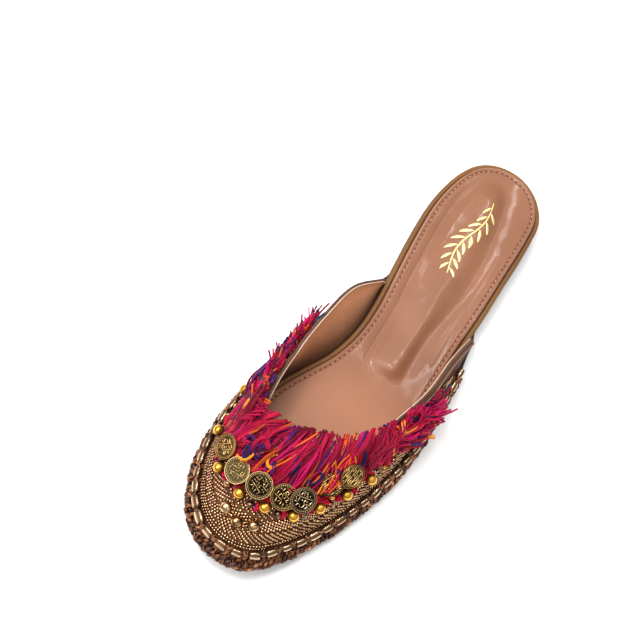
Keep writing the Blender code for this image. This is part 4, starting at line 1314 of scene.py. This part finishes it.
# relief over the unit disc: beads round the rim inside a thin ring, bars across and short upright strokes
def coinRelief(x, y, seed):
    r = np.hypot(x, y)
    turn = np.arctan2(y, x)
    height = np.clip(1.2 - np.hypot((r - 0.865) / 0.045, (np.mod(turn * 36 / (2 * pi), 1) - 0.5) / 0.30), 0, 1)
    height = np.maximum(height, np.exp(-((r - 0.765) / 0.020) ** 2) * 0.45)
    field = np.zeros_like(x)
    pick = np.random.default_rng(60 + int(seed * 10))
    for row, middle in enumerate((-0.47, -0.02, 0.42)):
        bar = np.exp(-((y - middle - 0.22 - 0.015 * np.sin(6 * x + seed)) / 0.032) ** 4)
        field = np.maximum(field, bar * (np.sin(3.1 * x + 2.3 * row + seed) > -0.75))
        for cell in np.arange(-0.58, 0.62, 0.235):
            cx, cy = cell + pick.uniform(-0.04, 0.04), middle + pick.uniform(-0.015, 0.015)
            kind = pick.integers(0, 5)
            across = (x - cx) - pick.uniform(-0.8, 0.8) * (y - cy)
            stroke = np.exp(-(across / 0.036) ** 4 - ((y - cy) / (0.135 if kind else 0.055)) ** 6)
            foot = np.exp(-((y - cy + 0.115) / 0.036) ** 4 - ((x - cx - 0.05) / 0.085) ** 6) * (kind == 2)
            field = np.maximum(field, np.maximum(stroke, foot))
    if seed > 6:
        lines = np.exp(-((np.mod(y + 0.03 * np.sin(5 * x + seed), 0.19) - 0.095) / 0.030) ** 4)
        field = lines * (np.sin(4.3 * x + np.floor(y / 0.19) * 2.6 + seed) > -0.82)
    height = np.maximum(height, field * (1 - ease(r, *((0.88, 0.92) if seed > 6 else (0.66, 0.72)))))
    return np.clip(np.maximum(height, ease(r, 0.945, 0.97) * 0.9), 0, 1)


def numbered(name, count):
    return ["%s_%d" % (name, k + 1) for k in range(count)]


# a disc of rings whose top falls by the relief where nothing is raised, then its side and a plain back
def buildCoins():
    look = coinLook
    turn = 2 * pi * np.arange(look["sides"]) / look["sides"]
    radius = np.sqrt(np.linspace(0.0009, 1, look["rings"])) * 0.6 + np.linspace(0.03, 1, look["rings"]) * 0.4
    x, y = radius[:, None] * np.cos(turn), radius[:, None] * np.sin(turn)
    half = look["thickness"] / 2
    way, height, above = coinPlaces.T
    normal = skinNormal(way, height)
    centres = aboveSkin(coinPlaces, look["overFringe"] + shoe["gap"] + half + above * look["thickness"])
    base = framesOf(skinAlong(way, height), normal)
    spin = np.radians(look["turns"])[:, None]
    axes = framesOf(base[:, 0] * np.cos(spin) + base[:, 1] * np.sin(spin), normal)
    parts, patinaAndPaintedShade = [], []
    for k, centre in enumerate(centres):
        raised = coinRelief(x, y, k * 1.3)
        top = np.stack([x * look["radius"], y * look["radius"], half - look["relief"] * (1 - raised)], axis=-1)
        side = top[-1:] * [1.02, 1.02, 0] + np.array([[0, 0, half * s] for s in (0.5, 0.0, -0.5)])[:, None]
        grid = np.concatenate([top, side, top[::-6] * [1, 1, 0] + [0, 0, -half]])
        flat = grid.reshape(-1, 3)
        parts.append((flat @ axes[k] + centre, outward(flat, tubeFaces(len(grid), look["sides"]))))
        low = np.concatenate([1 - raised.ravel(), np.full(len(flat) - raised.size, 0.35)])
        patinaAndPaintedShade.append(ease(low, 0.15, 0.9) * look["darkness"][k])
    newPiece("coins_stamped", *joined(parts), [coinGold], "coin_metal", numbered("coin", len(centres)),
             tint=look["tones"], marks={"patinaAndPaintedShade": np.concatenate(patinaAndPaintedShade)}, sharp=55)


# ---- gold beads, crystals and thread tufts
def ballRows(count, hole):
    angle = np.linspace(hole, pi - hole, count)
    return np.column_stack([-np.cos(angle), np.sin(angle)])


# painted shade on round beads: one less the eased height over the centre, in radii along the normal of the skin
def footShade(points, centres, places, radius):
    reach = points.reshape(len(centres), -1, 3) - centres[:, None]
    rise = (reach * skinNormal(*places.T)[:, None]).sum(axis=2) / radius
    return (0.92 * (1 - ease(rise, 0.05, 0.95))).ravel()


# drilled gold balls, large ones on the vamp's rows and small ones between them
def buildBalls():
    normal, tangent = skinNormal(*goldPlaces.T), skinAlong(*goldPlaces.T)
    rows = np.concatenate([[(-0.80, 0.10), (-0.93, 0.15)], ballRows(17, 0.20), [(0.93, 0.15), (0.80, 0.10)]])
    axes = framesOf(np.cross(normal, tangent) + 0.35 * tangent, normal)
    large = copies(*turnedShape(rows, 28), goldCentres, axes, np.full(3, goldRadius))
    axes = framesOf(dice.normal(0, 1, (len(smallGoldCentres), 3)), upAxis)
    size = np.array([1, 1, 0.9]) * smallGoldRadius * scatter(0.1, len(smallGoldCentres))
    small = copies(*turnedShape(ballRows(9, 0.25), 12), smallGoldCentres, axes, size)
    # painted shade darkening each ball toward its foot on the skin
    paintedBallShade = np.concatenate([footShade(large[0], goldCentres, goldPlaces, goldRadius),
                              footShade(small[0], smallGoldCentres, smallGoldPlaces, smallGoldRadius)])
    newPiece("gold_balls", *joined([large, small]), [beadGold], "bead_metal",
             numbered("gold_bead", len(goldPlaces)), tint=[1, 1, 1], marks={"patinaAndPaintedShade": paintedBallShade})


jewelLook = {"small": (0.25, 0.125, 0.058),
             "stones": ((0.66, 0.46, 0.24), (0.46, 0.25, 0.095), (0.54, 0.33, 0.15)),
             "bezel": (0.40, 0.20, 0.075), "grains": 13, "grainRadius": 0.00058}


# cut crystals with flat facets on eight sides, and domed stones in rings of small gold grains
def buildCrystals():
    look, count = jewelLook, len(crystalCentres)
    cut = [(-1.0, 0.30), (-0.72, 0.72), (-0.25, 1.0), (0.25, 1.0), (0.72, 0.72), (1.0, 0.30)]
    shape, quads = turnedShape(cut, 8)
    axes = framesOf(dice.normal(0, 1, (count, 3)), upAxis)
    size = np.full((count, 3), crystalRadius) * scatter(0.12, count)
    points, faces = copies(shape, quads, crystalCentres, axes, size)
    tone = np.clip(np.array(look["small"]) * scatter(0.25, count), 0.05, 0.8)
    # random painted facet reflections: each point of a crystal lightened or darkened
    tone = np.repeat(tone, len(shape), axis=0) * dice.choice([0.25, 0.7, 1.6], (len(points), 1))
    newPiece("small_crystals", points, faces, [crystalGlass], "bead_metal", tint=tone, smooth=False)

    shape, quads = turnedShape([(-0.55, 0.55), (-0.35, 0.95), (0.05, 1.0), (0.45, 0.72), (0.66, 0.36)], 8)
    axes = framesOf(skinNormal(*domePlaces.T), np.array([1.0, 0.2, 0]))
    points, faces = copies(shape, quads, domeCentres, axes, np.full(3, domeRadius))
    # painted shade toward each dome's base, and random painted facet reflections
    high = ease(shape[:, 0], -0.35, 0.35)[None, :, None]
    stones = np.array(look["stones"])[:, None]
    paintedFacetGlints = dice.choice([0.10, 0.30, 0.75, 1.5], (len(stones), len(shape), 1), p=[0.3, 0.25, 0.25, 0.2])
    newPiece("dome_crystals", points, faces, [crystalGlass], "bead_metal", smooth=False,
             tint=np.clip(stones * (0.12 + 0.88 * high) * paintedFacetGlints, 0, 1))

    turn = (2 * pi * np.arange(look["grains"]) / look["grains"])[None, :, None]
    ring = axes[:, None, 1] * np.cos(turn) + axes[:, None, 2] * np.sin(turn)
    grains = (domeCentres[:, None] + ring * (domeRadius + 0.0002) - axes[:, None, 0] * 0.0006).reshape(-1, 3)
    size = np.full((len(grains), 3), look["grainRadius"]) * scatter(0.15, len(grains))
    axes = framesOf(grains * 0 + [1.0, 0, 0], upAxis)
    points, faces = copies(*turnedShape(ballRows(7, 0.3), 8), grains, axes, size)
    tone = np.array(look["bezel"]) * dice.uniform(0.4, 1.2, (len(grains), 1))
    newPiece("dome_bezels", points, faces, [seedGlass], "bead_metal", tint=tone)


# colours of the yarn, each with the share of the threads that have it
yarnRows = np.array([(0.47, 0.002, 0.055, 0.34), (0.62, 0.005, 0.120, 0.10), (0.43, 0.002, 0.034, 0.22),
                     (0.20, 0.002, 0.024, 0.12), (0.60, 0.006, 0.042, 0.07), (0.020, 0.014, 0.105, 0.065),
                     (0.09, 0.006, 0.10, 0.04), (0.80, 0.120, 0.010, 0.030), (0.85, 0.30, 0.02, 0.012),
                     (0.0, 0.09, 0.17, 0.008)])
yarnTones = yarnRows[:, :3]
tuftLook = {"each": 13, "steps": 8, "radius": 0.00046, "tone": (0.62, 0.006, 0.030), "share": 0.55}


def yarnPick(count):
    return dice.choice(10, count, p=yarnRows[:, 3] / yarnRows[:, 3].sum())


# tufts: half rings of yarn standing on the skin in all directions
def buildTufts():
    count, steps = len(tuftPlaces) * tuftLook["each"], tuftLook["steps"]
    place = np.repeat(tuftPlaces, tuftLook["each"], axis=0) + dice.normal(0, 1, (count, 2)) * [0.0042, 0.013]
    start = aboveSkin(place, 0.0003)
    normal = skinNormal(*place.T)
    across = unit(np.cross(normal, dice.normal(0, 1, (count, 3))))
    size = dice.uniform(0.0009, 0.0017, (count, 1, 1))
    t = np.linspace(-0.15, 1.0, steps)[None, :, None] * pi
    paths = start[:, None] + (across[:, None] * np.cos(t) + normal[:, None] * np.sin(t) * 1.15) * size
    paths = keepOut(paths + dice.normal(0, 0.0003, (count, 1, 3)) * np.sin(t))
    points, faces = tubes(paths, tuftLook["radius"], 6, dice.normal(0, 1, (count, 1, 3)))
    tone = yarnTones[yarnPick(count)]
    tone = np.where(dice.random((count, 1)) < tuftLook["share"], tuftLook["tone"], tone)
    newPiece("thread_tufts", points, faces, [yarn], "fringe_thread", tint=tone, uv=tubeUv(4.5, steps))


# pushes path points out of the gold beads and crystals
def keepOut(paths):
    flat = paths.reshape(-1, 3).copy()
    for centres, radius in ((goldCentres, goldRadius + 0.0005), (crystalCentres, crystalRadius + 0.0004),
                            (domeCentres, domeRadius + 0.0004)):
        for centre in centres:
            away = flat - centre
            far = np.linalg.norm(away, axis=1, keepdims=True)
            flat = np.where(far < radius, centre + away / np.maximum(far, 1e-6) * radius, flat)
    return flat.reshape(paths.shape)


buildCoins()
buildBalls()
buildCrystals()
buildTufts()
print("stage: coins, beads and crystals set")

# ---- fringe of yarn round the collar
fringeLook = {"locks": 175, "perLock": 9, "radius": 0.00042, "steps": 14, "sides": 6, "splay": 0.0028,
              "lift": 0.0026, "frizz": 0.00028, "brightness": 0.74, "strays": 0.30, "reachTop": 0.97}
# way round and height of the root, then of the tip
fringeRows = np.array([
    (.165, .80, .120, .98), (.195, .68, .150, .99), (.235, .62, .200, 1.00), (.288, .60, .245, 1.03),
    (.330, .65, .300, 1.09), (.403, .71, .370, 1.14), (.480, .74, .470, 1.15), (.550, .74, .545, 1.15),
    (.600, .75, .605, 1.13), (.665, .79, .680, 1.15), (.708, .79, .745, 1.15), (.777, .70, .805, 1.10),
    (.825, .67, .850, 1.10), (.850, .66, .873, 1.02), (.872, .58, .888, .95)])
fringeKnots = runAlong(skinPoint(fringeRows[:, 0], fringeRows[:, 1]))
fringeKnots = fringeKnots / fringeKnots[-1]
sprayLook = {
    "lateral": {"ways": (0.820, 0.884), "heights": (0.60, 0.92), "off": 0.0012, "lean": (0.35, 0.9),
                "rise": 0.25, "stray": 0.20, "length": (0.0075, 0.0125), "sag": -0.0030, "sags": (0.2, 1.4), "arch": 0.0012,
                "bend": 0.0014, "tones": [0, 1, 1, 1, 4, 5, 1, 8, 9, 1, 2, 4]},
    "medial": {"ways": (0.112, 0.245), "heights": (0.80, 0.97), "off": 0.0010, "lean": (0.10, 0.50),
               "rise": 0.22, "stray": 0.16, "length": (0.007, 0.0115), "sag": -0.0020, "sags": (0.2, 1.3), "arch": 0.0008,
               "bend": 0.0010, "tones": [0, 0, 1, 2, 2, 3, 4, 5, 5, 6, 9, 7]}}


# spray of short threads at one end: they leave the side of the vamp, arc outwards and point toward the heel
def sideSpray(look, steps, count=190):
    way, height = dice.uniform(*look["ways"], count), dice.uniform(*look["heights"], count)
    normal = skinNormal(way, height)
    start = skinPoint(way, height) + normal * look["off"]
    aim = normal * dice.uniform(*look["lean"], (count, 1)) + np.array([-0.85, 0.0, look["rise"]])
    aim = unit(aim + dice.normal(0, look["stray"], (count, 3)))
    length = dice.uniform(*look["length"], (count, 1, 1))
    t = np.linspace(0, 1, steps)[None, :, None]
    sag = np.array([0, 0, look["sag"]]) * t ** 2 * dice.uniform(*look["sags"], (count, 1, 1))
    paths = start[:, None] + aim[:, None] * length * t + normal[:, None] * look["arch"] * np.sin(pi * t) + sag
    paths = paths + dice.normal(0, look["bend"], (count, 1, 3)) * t ** 2
    return paths, dice.choice(look["tones"], count)


# loose curls lying on the fringe: circles of falling radius carried up the rib, three threads to a curl
def looseCurls(steps):
    curls, each = 24, 3
    count = curls * each
    way = np.concatenate([dice.uniform(0.335, 0.465, 19), dice.uniform(0.60, 0.70, 5)])
    way = np.repeat(way, each) + dice.normal(0, 0.002, count)
    height = np.repeat(dice.uniform(0.78, 0.93, curls), each) + dice.normal(0, 0.008, count)
    start, normal = skinPoint(way, height)[:, None], skinNormal(way, height)[:, None]
    aside = skinAlong(way, height, 0.004)[:, None]
    upward = unit(skinPoint(way, height + 0.02) - skinPoint(way, height))[:, None]

    def shared(values):
        return np.repeat(values, each)[:, None, None]

    t = np.linspace(0, 1, steps)[None, :, None]
    first = shared(dice.uniform(0, 2 * pi, curls))
    swing = shared(dice.choice([-1, 1], curls) * dice.uniform(3.0, 5.6, curls))
    size = shared(dice.uniform(0.0020, 0.0036, curls)) * (1 + dice.normal(0, 0.08, (count, 1, 1)))
    phi = first + swing * t
    radius = size * (1 - 0.35 * t)
    lift = 0.0042 + 0.0006 * np.sin(2 * pi * t + first) + dice.normal(0, 0.0003, (count, 1, 1))
    climb = np.sin(phi) * radius + 0.004 * (t - 0.5)
    paths = start + aside * np.cos(phi) * radius + upward * climb + normal * lift
    return paths, np.repeat(dice.choice([0, 7, 5, 2, 8, 2, 0, 6, 5, 4, 3], curls), each)


# long single threads that sweep over the fringe from the coins to the collar, mostly orange
def looseSweeps(steps):
    count = 26
    way = np.concatenate([dice.uniform(0.58, 0.69, 16), dice.uniform(0.36, 0.56, 10)])
    lean = dice.normal(0.012, 0.022, count)
    t = np.linspace(0, 1, steps)[None]
    at = way[:, None] + lean[:, None] * t + dice.normal(0, 0.010, (count, 1)) * np.sin(pi * t)
    height = 0.76 + (dice.uniform(1.0, 1.10, (count, 1)) - 0.76) * t
    lift = 0.0038 + dice.uniform(0, 0.0012, (count, 1)) - 0.0014 * t ** 2
    paths = skinPoint(at, height) + skinNormal(at, np.minimum(height, fringeLook["reachTop"])) * lift[..., None]
    paths = paths + np.sin(t[..., None] * 7 + dice.random((count, 1, 3)) * 6) * 0.0005
    return paths, dice.choice([7, 7, 8, 4, 0, 7, 5], count)


# threads run from root to tip over the skin; each lock shares a bend, a tilt, a layer and mostly a colour
def buildFringe():
    look = fringeLook
    locks, each, steps, sides = look["locks"], look["perLock"], look["steps"], look["sides"]
    middle = (np.arange(locks) + 0.5 + dice.normal(0, 0.45, locks)) / locks
    tilt = dice.normal(0, 0.014, locks)
    curly = dice.random(locks) < np.where(np.abs(middle - 0.36) < 0.10, 0.55, 0.20)
    sway = dice.normal(0, 0.0085, locks) * np.where(curly, 2.6, 1.0)
    ripple = dice.normal(0, 0.0045, locks)
    bulge = np.clip(dice.normal(0.7, 0.45, locks), 0.05, 2.0) * look["lift"]
    reach = dice.normal(1.0, 0.06, locks)
    shade = np.clip(dice.normal(0.95, 0.26, locks), 0.42, 1.5)
    level = dice.random(locks)
    mainTone = yarnPick(locks)

    lock = np.repeat(np.arange(locks), each)
    count = len(lock)
    s = np.clip(middle[lock] + dice.normal(0, 0.42 / locks, count), 0, 1)
    rootWay, rootHeight, tipWay, tipHeight = through(fringeKnots, fringeRows, s).T[:, :, None]
    t = np.linspace(0, 1, steps)[None]
    layer = np.clip(level[lock, None] * 0.8 + 0.2 * dice.random((count, 1)), 0, 1)
    splay = dice.normal(0, 1, (count, 1)) * look["splay"]
    way = rootWay + (tipWay - rootWay + tilt[lock, None]) * t + splay * t ** 1.5
    way = way + sway[lock, None] * np.sin(pi * t)
    way = way + ripple[lock, None] * np.sin(2 * pi * t)
    way = way + dice.normal(0, 0.0010, (count, 1)) * np.sin(2 * pi * t + dice.random((count, 1)) * 6)
    spread = np.clip(reach[lock, None] * (1 + dice.normal(0, 0.05, (count, 1))), 0.72, 1.10)
    height = rootHeight - 0.03 + (tipHeight * spread - rootHeight + 0.03) * t
    height = height + dice.normal(0, 0.006, (count, 1)) * np.sin(1.5 * pi * t)
    lift = 0.0008 + 0.0021 * layer * (1 - 0.35 * t)
    lift = lift + bulge[lock, None] * ease(t, 0.30, 0.75) * (0.30 + 0.9 * layer)
    lift = lift - 0.0008 * layer * ease(t, 0.8, 1.0)
    lift = np.maximum(lift, 0.00075 + 0.0006 * ease(height, 0.9, 1.0))
    paths = skinPoint(way, height) + skinNormal(way, np.minimum(height, look["reachTop"])) * lift[..., None]
    phase = dice.random((count, 1, 3)) * 2 * pi
    frizz = np.sin(t[..., None] * dice.uniform(4, 9, (count, 1, 3)) + phase) * look["frizz"]
    paths = paths + frizz * ease(t, 0.1, 0.5)[..., None]

    extra = [sideSpray(sprayLook["lateral"], steps), sideSpray(sprayLook["medial"], steps), looseCurls(steps),
             looseSweeps(steps)]
    spray, sprayTone = (np.concatenate(parts) for parts in zip(*extra))
    paths = keepOut(np.concatenate([paths, spray]))
    lock = np.concatenate([lock, dice.integers(0, locks, len(spray))])
    count = len(paths)

    points, faces = tubes(paths, look["radius"] * scatter(0.12, count), sides, np.array([0.1, 0.2, 1.0]))
    own = dice.random(count) < look["strays"]
    pick = np.where(own, yarnPick(count), mainTone[lock])
    pick[-len(sprayTone):] = sprayTone
    bright = look["brightness"] * shade[lock] * np.clip(dice.normal(1, 0.10, count), 0.7, 1.3)
    tone = np.clip(yarnTones[pick] * bright[:, None], 0, 1)
    length = np.linalg.norm(np.diff(paths, axis=1), axis=2).sum(axis=1) * 1000
    along = np.repeat((length[:, None] * np.linspace(0, 1, steps)[None]).ravel(), sides)
    uv = np.column_stack([along, np.tile(np.arange(sides) / sides, count * steps)])
    block, perThread = steps * sides, len(faces) // count
    for number, threads in enumerate(np.array_split(np.arange(count), [count // 2])):
        a, b = threads[0], threads[-1] + 1
        newPiece("fringe_yarn_%d" % (number + 1), points[a * block:b * block],
                 faces[a * perThread:b * perThread] - a * block, [yarn], "fringe_thread", ("fringe",),
                 tint=tone[a:b], uv=uv[a * block:b * block])


buildFringe()
print("stage: fringe hung")

# ---- gold foil sprig on the heel pad
foilLook = {"start": -0.004, "length": 0.047, "sway": 0.0021, "leaf": 0.0068, "stem": 0.00055, "thick": 0.00020,
            "pairs": 8, "leafWide": 0.155}


# flat ribbons: a lens of eight points of the given half width, carried along paths on the pad
def ribbons(plans, widths):
    count, steps = widths.shape
    slope = unit(np.gradient(plans, axis=1))
    side = np.stack([-slope[..., 1], slope[..., 0]], axis=-1)
    offsets = np.array([-1, -0.6, 0.0, 0.6, 1, 0.6, 0.0, -0.6])
    rises = np.array([0, 0.9, 1.0, 0.9, 0, -0.9, -1.0, -0.9])
    plan = plans[:, :, None] + side[:, :, None] * offsets[:, None] * widths[:, :, None, None]
    z = insoleSurface(plan[..., 0], plan[..., 1]) + foilLook["thick"] * (0.5 + rises)
    points = np.concatenate([plan, z[..., None]], axis=-1).reshape(-1, 3)
    return points, repeated(points, count, steps, len(offsets))


# a wavy stem with leaves that leave it by turns to the left and right and curl along it
def buildSprig():
    look = foilLook
    u = np.linspace(0, 1, 61)
    stem = np.column_stack([look["start"] + look["length"] * u, 0.0008 + look["sway"] * np.sin(2.2 * pi * u)])
    stemWide = look["stem"] * (0.35 + 0.65 * np.sin(pi * np.clip(u, 0.02, 0.98)) ** 0.4)
    v = np.linspace(0, 1, 11)
    leaves, widths = [], []
    for k, place in enumerate(np.linspace(0.06, 0.93, look["pairs"] * 2)):
        base, ahead = pointsAt([place, place + 0.02], u, stem)
        heading = np.arctan2(*(ahead - base)[::-1])
        size = look["leaf"] * (0.75 + 0.35 * np.sin(pi * place))
        turn = heading + (1 if k % 2 else -1) * (0.95 - 0.55 * v)
        step = size / 10 * np.stack([np.cos(turn), np.sin(turn)], axis=-1)
        leaves.append(base + np.cumsum(step, axis=0))
        widths.append(size * look["leafWide"] * np.sin(pi * np.clip(v, 0.03, 0.97)) ** 0.8)
    parts = [ribbons(stem[None], stemWide[None]), ribbons(np.array(leaves), np.array(widths))]
    newPiece("foil_sprig", *joined(parts), [foilGold], "insole_leather")


buildSprig()
print("stage: foil sprig laid")

# ---- camera, light and floor
viewLook = {"lens": 69.94, "camera": (0.32527, 0.01946, 0.55537), "aim": (0.0930, -0.03514, 0.0), "roll": 22.92,
            "world": 0.93, "horizon": 0.30, "lit": (0.09, 0, 0), "reach": 1.6}
# name, place, size across, length where it is a tube, power
lightRows = (("soft_light", (0.42, -0.46, 0.80), 0.90, None, 6.2),
             ("key_light", (0.20, -0.30, 0.85), 0.16, None, 2.6),
             ("top_light", (0.26, -0.12, 0.74), 0.14, None, 0.8),
             ("streak_light_1", (-0.22, 0.12, 0.80), 0.014, 0.70, 1.5),
             ("streak_light_2", (-0.22, -0.155, 0.80), 0.014, 0.70, 1.5),
             ("streak_light_3", (-0.30, -0.70, 0.80), 0.014, 0.70, 1.5))


def placed(name, data):
    made = bpy.data.objects.new(name, data)
    bpy.context.scene.collection.objects.link(made)
    return made


def buildView():
    look = viewLook
    lens = bpy.data.cameras.new("photo_camera")
    lens.lens = look["lens"]
    camera = placed("photo_camera", lens)
    toward = Vector(look["aim"]) - Vector(look["camera"])
    turned = toward.to_track_quat("-Z", "Y").to_matrix() @ Matrix.Rotation(radians(look["roll"]), 3, "Z")
    camera.matrix_world = Matrix.Translation(look["camera"]) @ turned.to_4x4()
    bpy.context.scene.camera = camera
    for name, place, size, tube, power in lightRows:
        light = bpy.data.lights.new(name, "AREA")
        light.shape = "RECTANGLE" if tube else "DISK"
        light.size = size
        light.size_y = tube or size
        light.energy = power
        lamp = placed(name, light)
        lamp.location = place
        lamp.rotation_euler = (Vector(look["lit"]) - Vector(place)).to_track_quat("-Z", "Y").to_euler()

    world = bpy.data.worlds.new("pale_studio")
    world.use_nodes = True
    tree = world.node_tree
    back = tree.nodes["Background"]
    back.inputs["Color"].default_value = (1.0, 0.98, 0.96, 1)
    direction = addNode(tree, "SeparateXYZ", None, Vector=addNode(tree, "TexCoord").outputs["Generated"])
    strength = rangeOf(tree, direction.outputs["Z"], 0.05, 0.75, look["horizon"], look["world"])
    tree.links.new(strength, back.inputs["Strength"])
    bpy.context.scene.world = world
    bpy.context.scene.view_settings.view_transform = "Standard"

    mesh = bpy.data.meshes.new("pale_floor")
    corners = [(x * look["reach"], y * look["reach"], -0.0001) for x, y in ((-1, -1), (1, -1), (1, 1), (-1, 1))]
    mesh.from_pydata(corners, [], [(0, 1, 2, 3)])
    mesh.materials.append(plainFinish("pale_floor", 0.9, 300.0, (0.93, 0.93, 0.93, 1), (0.95, 0.95, 0.95, 1)))
    placed("pale_floor", mesh)


buildView()
print("stage: camera and light set")
